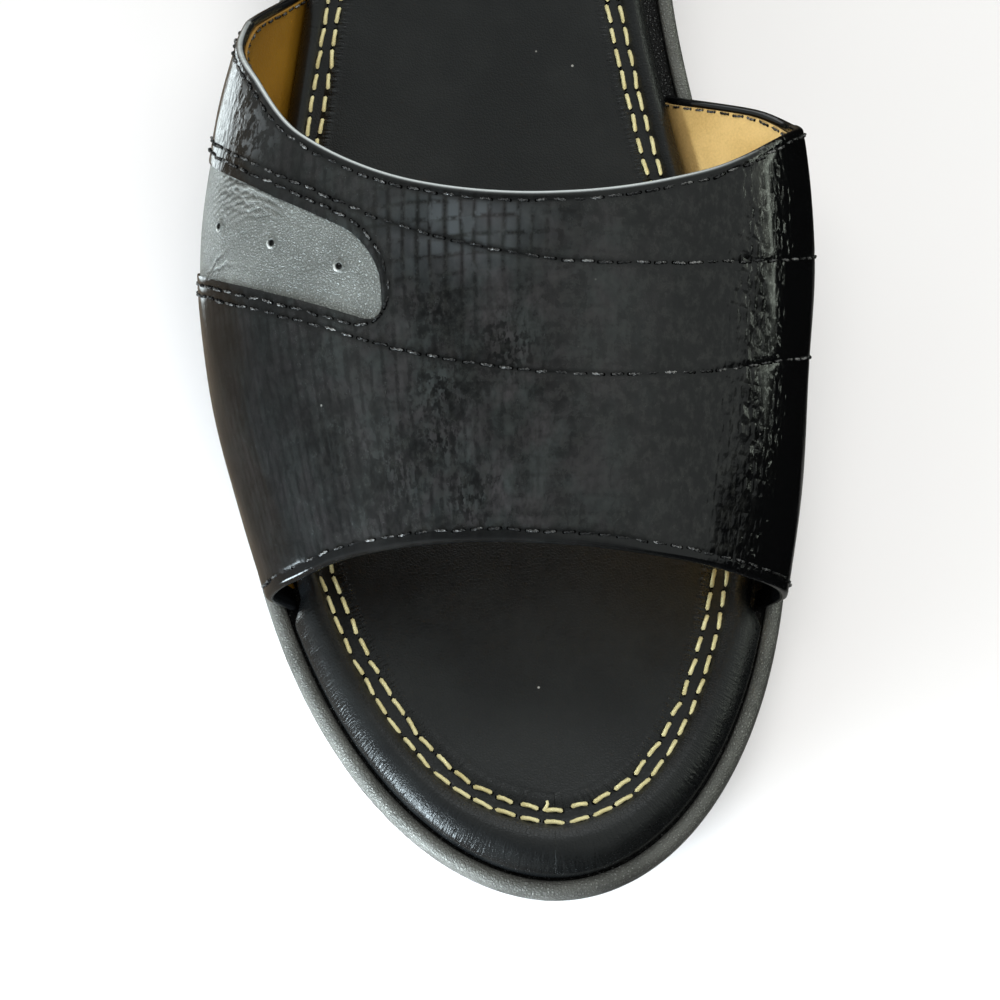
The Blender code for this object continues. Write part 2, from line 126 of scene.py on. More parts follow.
def soleOutline(steps):  # x, station and inward direction, toe - outer side - heel - inner side
    s = shoe["length"] * (1.0 - np.cos(np.pi * np.arange(steps + 1) / steps)) / 2.0
    x = np.concatenate((lateralRim(s), medialRim(s[-2:0:-1])))
    s = np.concatenate((s, s[-2:0:-1]))
    reach = max(1, steps // 120)  # a finer outline takes its direction over more points
    runX = np.roll(x, -reach) - np.roll(x, reach)
    runS = np.roll(s, -reach) - np.roll(s, reach)
    size = np.hypot(runX, runS)
    return x, s, runS / size, -runX / size


def soleRing(loop, inset, height):
    x, s, inX, inS = loop
    step = inset(s)
    at = s + inS * step
    return np.column_stack((x + inX * step, at, height(at)))


def toWorld(points):
    points = np.asarray(points, float).reshape(-1, 3)
    return (points + np.array((shoe["centreX"], -shoe["length"] / 2.0, 0.0))) * mm


def quads(lower, upper):  # faces between two rows of point numbers
    corners = (lower[..., :-1], lower[..., 1:], upper[..., 1:], upper[..., :-1])
    return np.stack(corners, -1).reshape(-1, 4).tolist()


def gridFaces(rows, columns, start=0, closed=False):
    index = np.arange(rows * columns).reshape(rows, columns) + start
    if closed:
        index = np.column_stack((index, index[:, 0]))
    return quads(index[:-1], index[1:])


def linkObject(name, data):
    piece = bpy.data.objects.new(name, data)
    bpy.context.scene.collection.objects.link(piece)
    return piece


def addPiece(name, points, faces, material):
    mesh = bpy.data.meshes.new(name)
    mesh.from_pydata(toWorld(points).tolist(), [], faces)
    mesh.materials.append(material)
    mesh.shade_smooth()
    return linkObject(name, mesh)


def meshValues(rows, field, width, kind=np.float64):
    values = np.empty(len(rows) * width, kind)
    rows.foreach_get(field, values)
    return values.reshape(-1, width) if width > 1 else values


def setUv(piece, pointUv, turn=0.0):  # one uv a point, in millimetres, turn where u closes on itself
    mesh = piece.data
    corner = meshValues(mesh.loops, "vertex_index", 1, np.int32)
    uv = np.asarray(pointUv, np.float32)[corner]
    if turn:
        first = meshValues(mesh.polygons, "loop_start", 1, np.int32)
        sides = np.diff(first, append=len(corner))
        furthest = np.repeat(np.maximum.reduceat(uv[:, 0], first), sides)
        uv[:, 0] += turn * (furthest - uv[:, 0] > turn / 2.0)
    layer = mesh.uv_layers.new(name="UVMap")
    layer.data.foreach_set("uv", uv.ravel())


def setPoints(piece, **marks):  # one number a point, for the finish to read
    for name, values in marks.items():
        layer = piece.data.attributes.new(name, "FLOAT", "POINT")
        layer.data.foreach_set("value", np.asarray(values, np.float32).ravel())


def faceOutward(piece):  # closed bodies only
    mesh = piece.data
    co = meshValues(mesh.vertices, "co", 3)
    co = co - co.mean(0)
    mesh.calc_loop_triangles()
    a, b, c = co[meshValues(mesh.loop_triangles, "vertices", 3, np.int32)].transpose(1, 0, 2)
    if np.einsum("ij,ij->i", a, np.cross(b, c)).sum() < 0:
        mesh.flip_normals()


def plainMesh(piece):  # modifiers into the mesh
    depsgraph = bpy.context.evaluated_depsgraph_get()
    mesh = bpy.data.meshes.new_from_object(piece.evaluated_get(depsgraph), preserve_all_data_layers=True,
                                           depsgraph=depsgraph)
    old = piece.data
    piece.modifiers.clear()
    piece.data = mesh
    bpy.data.meshes.remove(old)
    mesh.name = piece.name


def thicken(piece, thickness):
    wall = piece.modifiers.new("wall", "SOLIDIFY")
    wall.thickness = thickness * mm
    wall.offset = -1.0
    wall.use_rim = True
    plainMesh(piece)


# node trees: a wire is one value in a tree, so that a finish reads as plain sums
class Wire:
    def __init__(self, tree, socket):
        self.tree = tree
        self.socket = socket

    def maths(self, operation, second=0.0):
        return addNode(self.tree, "ShaderNodeMath", {0: self, 1: second}, operation=operation)

    def __mul__(self, other):
        return self.maths("MULTIPLY", other)

    def __truediv__(self, other):
        return self.maths("DIVIDE", other)

    def __add__(self, other):
        return self.maths("ADD", other)

    def __sub__(self, other):
        return self.maths("SUBTRACT", other)

    def __rsub__(self, other):
        return addNode(self.tree, "ShaderNodeMath", {0: other, 1: self}, operation="SUBTRACT")

    def most(self, other):
        return self.maths("MAXIMUM", other)

    def ramp(self, low, high, toLow=0.0, toHigh=1.0, kind="SMOOTHSTEP"):
        inputs = {"Value": self, "From Min": low, "From Max": high, "To Min": toLow, "To Max": toHigh}
        return addNode(self.tree, "ShaderNodeMapRange", inputs, interpolation_type=kind)

    def scaled(self, scale):  # a pair of scales stretches the pattern, round and along
        if not isinstance(scale, tuple):
            return {"Vector": self, "Scale": scale}
        stretched = addNode(self.tree, "ShaderNodeMapping", {"Vector": self, "Scale": (*scale, 0.0)})
        return {"Vector": stretched, "Scale": 1.0}

    def noise(self, scale, detail=2.0, roughness=0.5, distortion=0.0):
        inputs = dict(self.scaled(scale), Detail=detail, Roughness=roughness, Distortion=distortion)
        return addNode(self.tree, "ShaderNodeTexNoise", inputs, "Fac")

    def cells(self, scale, feature="DISTANCE_TO_EDGE"):
        return addNode(self.tree, "ShaderNodeTexVoronoi", self.scaled(scale), "Distance", feature=feature)

    def blend(self, first, second):  # colours, from the first to the second
        ends = [colour if isinstance(colour, Wire) else (*colour, 1.0) for colour in (first, second)]
        return addNode(self.tree, "ShaderNodeMix", {0: self, 6: ends[0], 7: ends[1]}, 2, data_type="RGBA")

    def parts(self):
        split = addNode(self.tree, "ShaderNodeSeparateXYZ", {0: self}).socket.node
        return [Wire(self.tree, socket) for socket in split.outputs]


def setInputs(node, inputs):
    for key, value in inputs.items():
        if isinstance(value, Wire):
            node.id_data.links.new(value.socket, node.inputs[key])
        else:
            node.inputs[key].default_value = value


def addNode(tree, kind, inputs=None, output=0, **settings):
    node = tree.nodes.new(kind)
    for key, value in settings.items():
        setattr(node, key, value)
    setInputs(node, inputs or {})
    return Wire(tree, node.outputs[output])


def startMaterial(name):
    material = bpy.data.materials.new(name)
    material.use_nodes = True
    tree = material.node_tree
    return material, tree, tree.nodes["Principled BSDF"]


def painted(tree, name):  # a mark that the piece carries on its points
    return addNode(tree, "ShaderNodeAttribute", None, "Fac", attribute_name=name)


def coordinates(tree, output="Object"):
    return addNode(tree, "ShaderNodeTexCoord", None, output)


def bump(shader, height, distance):
    inputs = {"Height": height, "Strength": 1.0, "Distance": distance * mm}
    setInputs(shader, {"Normal": addNode(height.tree, "ShaderNodeBump", inputs)})


# finishes, one function each
# some colours here are painted light: the lit emboss blocks, the sheen in the haze and mottle, the pale line
# on the back fold
patentLook = dict(checkWide=2.05, checkLong=2.8, wander=1.5, wanderLong=1.3, groove=0.32, rowGroove=0.224,
                  faint=0.16, plainFrom=82.0, plainTo=104.0, depth=0.06, dabs=0.08, lean=13.0, pits=3.0,
                  swell=1.6, rough=0.12, dullRough=0.14, black=(0.0022, 0.0023, 0.0025),
                  wornCool=(0.031, 0.0352, 0.0345), wornWarm=(0.036, 0.0338, 0.0348),
                  block=(0.064, 0.072, 0.078), hazy=(0.014, 0.0145, 0.0135), scuffed=(0.115, 0.122, 0.128),
                  dust=(0.16, 0.16, 0.15), dustScale=(0.13, 0.13), foldLine=(0.62, 0.66, 0.67))
patentNoise = dict(wander=((0.30, 0.05), 2.0),  # scales round and along, detail, roughness, distortion
                   wanderLong=((0.12, 0.06), 2.0), shows=((0.34, 0.26), 3.0, 0.65),
                   cloud=((0.085, 0.06), 8.0, 0.7, 0.4), speckle=((1.15, 0.62), 3.0, 0.62),
                   blotch=((0.16, 0.13), 5.0, 0.65, 0.5), swell=((0.21, 0.15), 3.0, 0.55),
                   pits=((0.52, 0.40), 3.0, 0.55, 0.3), mottle=((0.55, 0.42), 7.0, 0.75),
                   rubs=((0.42, 0.34), 6.0, 0.68, 0.3))
patentMarks = ("emboss", "seam", "spots", "wear", "hazy", "scuff", "leaning", "fold", "dimple")


def patentFinish():
    look = patentLook
    material, tree, shader = startMaterial("patentLeather")
    uv = coordinates(tree, "UV")  # millimetres round and along the strap
    pattern = {name: uv.noise(*row) for name, row in patentNoise.items()}
    mark = {name: painted(tree, name) for name in patentMarks}
    roundStrap, alongStrap = uv.parts()[:2]
    around = (pattern["wander"] * look["wander"] + roundStrap) / look["checkWide"]
    along = (pattern["wanderLong"] * look["wanderLong"] + alongStrap) / look["checkLong"]
    column = around.maths("ROUND")
    row = along.maths("ROUND")
    block = addNode(tree, "ShaderNodeCombineXYZ", {0: column, 1: row})
    tone = addNode(tree, "ShaderNodeTexWhiteNoise", {"Vector": block}, "Value", noise_dimensions="2D")
    columnGap = 0.5 - around.maths("PINGPONG", 0.5)
    rowGap = 0.5 - along.maths("PINGPONG", 0.5)
    columnGroove = columnGap.ramp(0.0, look["groove"]).most(pattern["shows"].ramp(0.52, 0.66))
    rowGroove = rowGap.ramp(0.0, look["rowGroove"]).most(pattern["shows"].ramp(0.45, 0.58))
    check = columnGroove * rowGroove
    soft = pattern["speckle"].ramp(0.30, 0.70, 0.62, 1.0)
    hard = pattern["speckle"].ramp(0.45, 0.55)
    dabs = addNode(tree, "ShaderNodeMix", {"Factor": mark["spots"], "A": soft, "B": hard})
    dull = pattern["cloud"].ramp(0.36, 0.58, 0.35, 1.0) * mark["wear"]
    tilt = (tone - 0.5) * mark["leaning"]  # each block leans its own way
    lean = (along - row) + (around - column)
    lean = lean * columnGap.maths("MINIMUM", rowGap).ramp(0.0, 0.3)
    height = check * mark["emboss"].most(look["faint"]) + dabs * dull * look["dabs"]
    height = height + tilt * lean * look["lean"] + pattern["pits"] * mark["dimple"] * look["pits"]
    bump(shader, height + pattern["swell"] * look["swell"], look["depth"])
    plain = roundStrap.ramp(look["plainFrom"], look["plainTo"], 0.45, 0.86)  # the painted shade in the grooves fades to the inner side
    # lighter, dull patches where the strap is worn: partly real wear, partly painted sheen
    haze = dull * pattern["blotch"].ramp(0.38, 0.56, 0.4, 1.0) * dabs
    # haze is kept out of the grooves, leaving them darker: painted groove shade
    haze = haze * columnGroove.ramp(0.0, 1.0, plain, 1.0) * rowGroove.ramp(0.0, 1.0, 0.72, 1.0)
    # grey mottling across the middle of the strap: painted sheen, partly haze
    mottle = pattern["mottle"].ramp(0.45, 0.63) * mark["hazy"]
    colour = mottle.blend(look["black"], look["hazy"])
    wornColour = pattern["swell"].ramp(0.38, 0.62).blend(look["wornWarm"], look["wornCool"])
    colour = haze.blend(colour, wornColour)
    # pale blotches near the back outer corner
    colour = (mark["scuff"] * pattern["rubs"].ramp(0.49, 0.56)).blend(colour, look["scuffed"])
    colour = uv.cells(look["dustScale"], "F1").ramp(0.030, 0.018).blend(colour, look["dust"])
    # embossed blocks lighter than their grooves: painted shade in the grooves, each block with its own random
    # tone
    stands = check * mark["emboss"] * tone.ramp(0.0, 1.0, 0.45, 1.0)
    colour = stands.blend(colour, look["block"])
    # black along the stitch rows: painted shadow under the threads; the hems kept plain black
    colour = mark["seam"].blend(colour, look["black"])
    # pale line along the back edge's fold: painted highlight
    colour = mark["fold"].blend(colour, look["foldLine"])
    setInputs(shader, {"Base Color": colour, "Roughness": dull * dabs * look["dullRough"] + look["rough"],
                       "Specular IOR Level": 0.32, "Coat Weight": 0.35, "Coat Roughness": 0.07})
    return material


# the near-black here is painted shade, the pale colour painted highlight and sparkle
pewterLook = dict(low=(0.145, 0.146, 0.142), high=(0.30, 0.30, 0.292), deep=(0.008, 0.008, 0.008),
                  pale=(0.85, 0.87, 0.85), grainScale=2000.0, fineScale=4300.0, warpScale=700.0,
                  broadScale=120.0, metal=0.55)


def pewterFinish(name, depth, tint, roughness, sparkle):
    look = pewterLook
    material, tree, shader = startMaterial(name)
    place = coordinates(tree)
    grain = place.cells(look["grainScale"])
    fine = place.noise(look["fineScale"], 3.0, 0.6)
    warp = place.noise(look["warpScale"])
    broad = place.noise(look["broadScale"], 4.0, 0.6)
    grainTop = grain.ramp(0.0, 0.30)
    bump(shader, grainTop + fine * 0.6 + warp * 0.3, depth)
    tone = broad * 0.7 + fine * 0.5 + grainTop * 0.12
    low = [channel * factor for channel, factor in zip(look["low"], tint)]
    high = [channel * factor for channel, factor in zip(look["high"], tint)]
    colour = tone.ramp(0.35, 0.95).blend(low, high)
    # near-black in the wrap's tray, the creases and the pinhole pits: painted shade
    colour = painted(tree, "hollow").blend(colour, look["deep"])
    # pale on the crease ridges and pinhole rims: painted highlight
    colour = painted(tree, "rubbed").blend(colour, look["pale"])
    # pale specks on the grain tops: painted sparkle
    speck = fine.ramp(0.52, 0.66) * grain.ramp(0.10, 0.30)
    colour = (speck * sparkle).blend(colour, look["pale"])
    setInputs(shader, {"Base Color": colour, "Roughness": fine.ramp(0.3, 0.7, *roughness),
                       "Metallic": look["metal"]})
    return material


padLook = dict(grainScale=1900.0, fineScale=3800.0, broadScale=45.0, lintScale=95.0, depth=0.045,
               drawn=((2.3, 0.32), 1.5, 0.55, 0.2), drawnDepth=2.8, ticks=((1.5, 0.22), 2.0, 0.5),
               ticksDepth=9.0, dark=(0.0030, 0.0034, 0.0038), light=(0.008, 0.0088, 0.009),
               lint=(0.32, 0.32, 0.30), gloss=-0.11)


def footbedFinish():
    look = padLook
    material, tree, shader = startMaterial("footbedLeather")
    place = coordinates(tree)
    uv = coordinates(tree, "UV")  # millimetres round the edge and in from it
    inward = uv.parts()[1]
    roll = 1.0 - inward.ramp(6.5, 9.5)
    drawnIn = inward.ramp(11.6, 12.6) * (1.0 - inward.ramp(13.2, 14.8))  # beside the inner row
    shiny = 1.0 - inward.ramp(2.2, 5.0)  # smooth on the outer face of the roll
    grainTop = place.cells(look["grainScale"]).ramp(0.0, 0.28)
    height = place.noise(look["fineScale"], 3.0, 0.6) * 0.4 + grainTop * 0.5
    height = height * shiny.ramp(0.0, 1.0, 1.0, 0.25) + uv.noise(*look["drawn"]) * roll * look["drawnDepth"]
    bump(shader, height + uv.noise(*look["ticks"]) * drawnIn * look["ticksDepth"], look["depth"])
    broad = place.noise(look["broadScale"], 5.0, 0.65)
    colour = broad.ramp(0.35, 0.7).blend(look["dark"], look["light"])
    colour = place.cells(look["lintScale"], "F1").ramp(0.028, 0.02).blend(colour, look["lint"])
    rough = broad * 0.20 + grainTop.ramp(0.0, 1.0, 0.34, 0.22) + shiny.most(drawnIn * 0.7) * look["gloss"]
    setInputs(shader, {"Base Color": colour, "Roughness": rough, "Specular IOR Level": 0.5})
    return material


def threadFinish(name, low, high, roughness, glint=(0.35, 0.85), gloss=0.5):
    material, tree, shader = startMaterial(name)
    place = coordinates(tree)
    fibre = place.noise(5200.0, 3.0, 0.65)
    bump(shader, fibre, 0.05)
    # lighter patches where the fibre noise runs high: painted glints
    tone = fibre * 0.6 + place.noise(300.0) * 0.6
    setInputs(shader, {"Base Color": tone.ramp(*glint).blend(low, high), "Specular IOR Level": gloss,
                       "Roughness": fibre.ramp(0.2, 0.8, roughness - 0.06, roughness + 0.08)})
    return material


liningLook = dict(wornFrom=-0.025, wornTo=0.035, wornLow=(0.25, 0.115, 0.007), wornHigh=(0.38, 0.19, 0.014),
                  low=(0.50, 0.31, 0.10), high=(0.74, 0.50, 0.20), depth=0.03)


def liningFinish():
    look = liningLook
    material, tree, shader = startMaterial("tanLining")
    place = coordinates(tree)
    pores = place.noise(2600.0)
    bump(shader, place.cells(1700.0).ramp(0.0, 0.25) + pores * 0.5, look["depth"])
    tone = pores * 0.35 + place.noise(60.0, 4.0, 0.6) * 0.8
    clean = place.parts()[0].ramp(look["wornFrom"], look["wornTo"])  # painted shade: darker on the outer side
    low = clean.blend(look["wornLow"], look["low"])
    high = clean.blend(look["wornHigh"], look["high"])
    setInputs(shader, {"Base Color": tone.ramp(0.3, 0.8).blend(low, high),
                       "Roughness": pores.ramp(0.3, 0.7, 0.55, 0.7)})
    return material


def rubberFinish():
    material, tree, shader = startMaterial("soleRubber")
    place = coordinates(tree)
    fine = place.noise(2400.0, 3.0)
    bump(shader, place.cells(900.0).ramp(0.0, 0.3) + fine * 0.4, 0.06)
    dusty = place.noise(50.0, 5.0, 0.65).ramp(0.4, 0.75)
    setInputs(shader, {"Base Color": dusty.blend((0.012, 0.012, 0.012), (0.03, 0.029, 0.028)),
                       "Roughness": fine.ramp(0.3, 0.7, 0.58, 0.74)})
    return material


def floorFinish():
    material, tree, shader = startMaterial("paleFloor")
    tone = coordinates(tree).noise(6.0, 3.0).ramp(0.3, 0.7)
    setInputs(shader, {"Base Color": tone.blend((0.95, 0.92, 0.925), (0.97, 0.94, 0.945)), "Roughness": 0.9})
    return material


patent = patentFinish()
# one pewter leather in two copies, darkened for the wrap and lightened for the inset: painted shade and light
# for how each is lit
wrapPewter = pewterFinish("wrapPewter", 0.06, (0.58, 0.58, 0.55), (0.28, 0.42), 0.25)
insetPewter = pewterFinish("insetPewter", 0.085, (1.10, 1.16, 1.15), (0.32, 0.48), 0.5)
padLeather = footbedFinish()
creamThread = threadFinish("creamThread", (0.56, 0.48, 0.22), (0.86, 0.80, 0.47), 0.6)
# light patches on the black thread: painted glints
blackThread = threadFinish("blackThread", (0.008, 0.008, 0.0085), (0.24, 0.24, 0.235), 0.20, (0.58, 0.76))
# near-black discs at the needle holes: painted shade
threadHole = threadFinish("threadHole", (0.0004, 0.0004, 0.0004), (0.0015, 0.0015, 0.0015), 0.9, gloss=0.05)
tanLining = liningFinish()
soleRubber = rubberFinish()
print("materials made")


# outsole and wedge: rings round the plan outline, closed above and below
def ladder(start, steps, facingUp):
    size = 2 * steps
    faces = [[start, start + 1, start + size - 1]]
    faces += [[start + i, start + i + 1, start + size - i - 1, start + size - i] for i in range(1, steps - 1)]
    faces += [[start + steps - 1, start + steps, start + steps + 1]]
    return [face[::-1] for face in faces] if facingUp else faces


def loftPiece(name, rings, steps, material):
    size = 2 * steps
    faces = gridFaces(len(rings), size, closed=True) + ladder(0, steps, False)
    faces += ladder(size * (len(rings) - 1), steps, True)
    piece = addPiece(name, np.concatenate(rings), faces, material)
    piece.data.set_sharp_from_angle(angle=math.radians(50))
    faceOutward(piece)
    return piece


wrap = dict(steps=240, toeTaper=5.5, sideTaper=3.2, heelTaper=6.5, rimDepth=3.6, wallRings=14, rimRings=30,
            taperShare=(1.0, 0.78, 0.48, 0.24), heightShare=(0.0, 0.25, 0.60, 1.0),
            rimInset=(0.15, 0.0, 0.25, 0.85, 1.5, 2.25, 2.7, 2.72),
            rimDrop=(3.0, 2.1, 1.0, 0.3, 0.02, 0.04, 0.45, 2.0), trayInset=2.0, dark=(0.3, 0.7))


def wallTaper(s):
    toe = 1.0 - ease(s / shoe["toeSpringLength"])
    heel = fade(s, waistAt, shoe["length"] - waistAt)
    side = wrap["sideTaper"]
    return side + (wrap["toeTaper"] - side) * toe + (wrap["heelTaper"] - side) * heel


def makeWrap():
    loop = soleOutline(wrap["steps"])
    rings = []
    for share in np.linspace(0.0, 1.0, wrap["wallRings"]):
        taper = float(curveThrough(wrap["heightShare"], wrap["taperShare"], share))

        def height(s):
            foot = underHeight(s) + shoe["outsole"]
            return foot + (rimHeight(s) - wrap["rimDepth"] - foot) * share

        rings.append(soleRing(loop, lambda s: wallTaper(s) * taper, height))
    knots = range(len(wrap["rimInset"]))
    hollow = [0.0] * len(rings)
    for at in np.linspace(0.0, knots[-1], wrap["rimRings"]):
        inset = float(curveThrough(knots, wrap["rimInset"], at))
        drop = float(curveThrough(knots, wrap["rimDrop"], at))
        rings.append(soleRing(loop, lambda s: inset + 0.0 * s, lambda s: rimHeight(s) - drop))
        dark = float(fade(drop, *wrap["dark"]))  # the tray under the pad is painted dark: its black covering and painted shade under the roll
        hollow.append(dark if inset > wrap["trayInset"] else 0.0)
    piece = loftPiece("wedgeWrap", rings, wrap["steps"], wrapPewter)
    setPoints(piece, hollow=np.repeat(hollow, 2 * wrap["steps"]))
    return piece


outsole = dict(steps=240, inset=0.8, edge=0.7, edgeRings=6)


def makeOutsole():
    loop = soleOutline(outsole["steps"])
    rings = []
    for turn in np.linspace(0.0, math.pi / 2.0, outsole["edgeRings"]):
        tuck = outsole["edge"] * (1.0 - math.sin(turn))
        lift = outsole["edge"] * (1.0 - math.cos(turn))
        rings.append(soleRing(loop, lambda s: wallTaper(s) + outsole["inset"] + tuck,
                              lambda s: underHeight(s) + lift))
    rings.append(soleRing(loop, lambda s: wallTaper(s) + outsole["inset"],
                          lambda s: underHeight(s) + shoe["outsole"] - shoe["seatGap"]))
    return loftPiece("outsoleRubber", rings, outsole["steps"], soleRubber)


wedgeWrap = makeWrap()
outsoleRubber = makeOutsole()
print("wedge wrap and outsole made")

# footbed: padded roll round the edge, stitch channel, soft field with a heel cup
pad = dict(steps=760, insetToe=3.3, insetStrap=5.6, strapStart=43.0, strapFront=48.0, strapBack=158.0,
           strapEnd=180.0, cupDepth=2.0, cupAt=202.0, cupLength=36.0, fieldColumns=22, fieldSwell=0.10,
           fieldUv=15.0, rollRings=46, rowOuter=7.2, rowInner=9.35, rowSides=9.5, rowLean=0.25, rowToe=1.2,
           rowToeReach=6.0, rowSink=0.22, rowWidth=0.7, rowLift=0.05, puckerDepth=0.13, puckerReach=2.2,
           puckerGap=0.35, betweenWidth=0.6, measuredAt=(8.0, 6.6), riseShare=0.4,
           inset=(0.35, -0.1, -0.3, 0.0, 2.0, 4.0, 5.8, 7.8, 9.6, 12.0),
           rise=(0.3, 1.6, 3.4, 4.9, 7.0, 7.85, 7.5, 6.5, 6.8, 7.2))
puckers = dict(share=(1.0, 0.7), pitch=(3.3, 4.6), sway=(1.7, 2.0), swayPitch=(0.31, 0.17))


def padInset(s):
    front = fade(s, pad["strapStart"], pad["strapFront"] - pad["strapStart"])
    back = fade(s, pad["strapEnd"], pad["strapBack"] - pad["strapEnd"])
    return pad["insetToe"] + (pad["insetStrap"] - pad["insetToe"]) * front * back


def padProfile(count):
    knots = np.arange(len(pad["inset"]))
    at = np.linspace(0.0, knots[-1], count)
    return curveThrough(knots, pad["inset"], at), curveThrough(knots, pad["rise"], at)


def padRow(loop, inset, rise):  # the roll narrows under the strap, the stitch rows keep their way
    x, s, inX, inS = loop
    edge = padInset(s)
    row = pad["rowSides"] - pad["rowLean"] * inX + pad["rowToe"] * bell(s, pad["rowToeReach"])
    beyond = inset - pad["rowOuter"]
    step = row + (beyond if beyond > 0 else (row - edge) * beyond / pad["rowOuter"])
    at = s + inS * step
    return np.column_stack((x + inX * step, at, rimHeight(at) - shoe["trayDepth"] + rise))


def makePad():
    loop = soleOutline(pad["steps"])
    size = 2 * pad["steps"]
    inset, rise = padProfile(pad["rollRings"])
    around = lengthAlong(padRow(loop, *pad["measuredAt"]))
    girth = 2.0 * around[pad["steps"]]
    around = np.where(np.arange(size) > pad["steps"], around - girth, around)  # toe at zero, seam at the heel
    wave = sum(share * np.sin(around * pitch + sway * np.sin(around * swayPitch))
               for share, pitch, sway, swayPitch in zip(*puckers.values()))
    wave = pad["puckerDepth"] * wave * (0.6 + 0.4 * np.sin(around * 0.071 + 0.6))  # calmer in places
    rings = []
    uv = []
    for ringInset, ringRise in zip(inset, rise):
        sink = pad["rowSink"] * (bell(ringInset - pad["rowOuter"], pad["rowWidth"])
                                 + bell(ringInset - pad["rowInner"], pad["rowWidth"]))
        beyond = (ringInset - pad["rowInner"] - pad["puckerGap"]) / pad["puckerReach"]
        swell = math.sin(math.pi * min(max(beyond, 0.0), 1.0) ** 0.6) ** 2  # gone where the field starts
        between = bell(ringInset - (pad["rowOuter"] + pad["rowInner"]) / 2.0, pad["betweenWidth"])
        points = padRow(loop, ringInset, ringRise - sink)
        points[:, 2] += wave * (0.5 * swell + 0.35 * between)
        rings.append(points)
        uv.append(np.column_stack((around, np.full(size, ringInset + pad["riseShare"] * ringRise))))
    points = np.concatenate(rings)
    sides = [face[::-1] for face in gridFaces(len(rings), size, closed=True)]
    faces = sides + ladder(0, pad["steps"], False)
    start = size * (len(rings) - 1)
    step = np.arange(1, pad["steps"])
    outer = points[start + step]
    inner = points[start + size - step]
    share = np.linspace(0.0, 1.0, pad["fieldColumns"] + 1)[1:-1]
    field = outer[:, None, :] + (inner - outer)[:, None, :] * share[None, :, None]
    reach = np.abs(field[..., 1] - pad["cupAt"]) / pad["cupLength"]
    field[..., 2] -= pad["cupDepth"] * (1.0 - ease(reach)) * 4.0 * share * (1.0 - share)
    ripple = np.sin(field[..., 0] * 0.21 + field[..., 1] * 0.09) * np.sin(np.pi * share)
    field[..., 2] += pad["fieldSwell"] * ripple
    firstField = len(points)
    points = np.concatenate((points, field.reshape(-1, 3)))
    uv.append(np.column_stack((field[..., 1].ravel(), np.full(field[..., 0].size, pad["fieldUv"]))))
    columns = pad["fieldColumns"] - 1
    index = np.empty((len(step), columns + 2), int)
    index[:, 0] = start + step
    index[:, -1] = start + size - step
    index[:, 1:-1] = firstField + np.arange(len(step) * columns).reshape(len(step), columns)
    for column in range(columns + 1):
        faces.append([start, int(index[0, column + 1]), int(index[0, column])])
        faces.append([int(index[-1, column]), int(index[-1, column + 1]), start + pad["steps"]])
    faces += quads(index[:-1], index[1:])
    piece = addPiece("footbedPad", points, faces, padLeather)
    setUv(piece, np.concatenate(uv), girth)
    return piece


footbedPad = makePad()
print("footbed made")

# strap: one surface over the instep, stations along it and a share of the girth across it
strap = dict(footInset=3.0, widestRise=8.0, widestAt=48.0, widestSlope=0.28, lateral=0.125, apex=0.54,
             medial=0.875, lateralPower=1.9, medialPower=2.2, fold=0.85, foldReach=2.0, sheet=0.7,
             stitchFront=2.0, stitchBack=1.45, stitchSink=0.07, stitchSinkWidth=0.42, stitchLift=0.02,
             windowSink=0.08, windowSinkWidth=0.16, ripple=0.10, liningFrom=2.4, liningBack=1.15,
             liningInner=3.2, liningMedial=(0.6, 0.3), liningLateral=(0.3, -0.2), liningLateralShare=0.4,
             liningLift=-1.72, lining=0.42, liningStitch=-0.03, girth=190.0, slant=1.1, middleX=7.0,
             middleZ=30.0, sharpAngle=48.0)
# where the strap's marks lie: wear with painted sheen, painted shade on the rows, painted highlight on the
# back fold
worn = dict(emboss=(0.465, 92.0), embossReach=(9.5, 5.8), wear=(0.68, -0.18), cleanShare=0.26,
            clean=(0.23, 0.25), hazyStart=(0.20, 0.24), hazyEnd=(0.745, -0.045), frontHem=(2.2, -0.8),
            backHem=(-1.7, 0.6), hemShare=0.85, seamWidth=0.5, streakAt=0.722, streakReach=7.0,
            scuff=(104.0, 6.0), scuffAt=0.245, scuffReach=0.045, corner=1.7, cornerBack=(103.0, 10.0),
            cornerTop=(0.34, -0.08), cornerFoot=(0.165, 0.05), foldAt=0.14, foldWidth=0.17, foldInside=-0.95,
            foldStart=(0.10, 0.06), foldEnd=(0.74, -0.14))  # pairs are where it starts and its reach
stains = dict(station=(80.3, 74.2, 68.6, 62.0, 63.0, 58.0, 54.5),
              girth=(0.446, 0.501, 0.448, 0.443, 0.344, 0.400, 0.468),
              reach=(3.6, 4.2, 4.6, 3.6, 4.5, 4.6, 4.0))
sections = dict(station=(40, 60, 80, 100, 120, 140, 160), apexX=(6.0, 7.5, 8.5, 9.0, 9.0, 8.0, 6.0),
                apexRise=(25.5, 36.0, 45.0, 54.0, 62.0, 69.5, 76.0),
                lateral=(-34.4, -41.2, -46.5, -48.4, -45.8, -40.9, -37.4),
                medial=(44.0, 47.4, 49.0, 50.2, 48.1, 43.2, 37.0))
edges = dict(girth=(0.0, 0.125, 0.25, 0.33, 0.43, 0.54, 0.65, 0.76, 0.875, 0.92, 1.0),
             front=(48.0, 46.6, 46.4, 47.5, 48.0, 47.5, 46.2, 45.6, 46.8, 47.3, 48.2),
             sewnFront=(101.0, 94.4, 86.7, 81.2, 74.2, 70.6, 71.9, 77.2, 84.0, 86.9, 92.0),
             sewnBack=(126.0, 119.0, 108.9, 101.0, 91.2, 86.0, 87.1, 91.8, 99.7, 103.3, 110.0),
             back=(156.0, 137.9, 121.6, 108.2, 98.2, 95.4, 99.9, 110.2, 121.0, 127.8, 138.0))
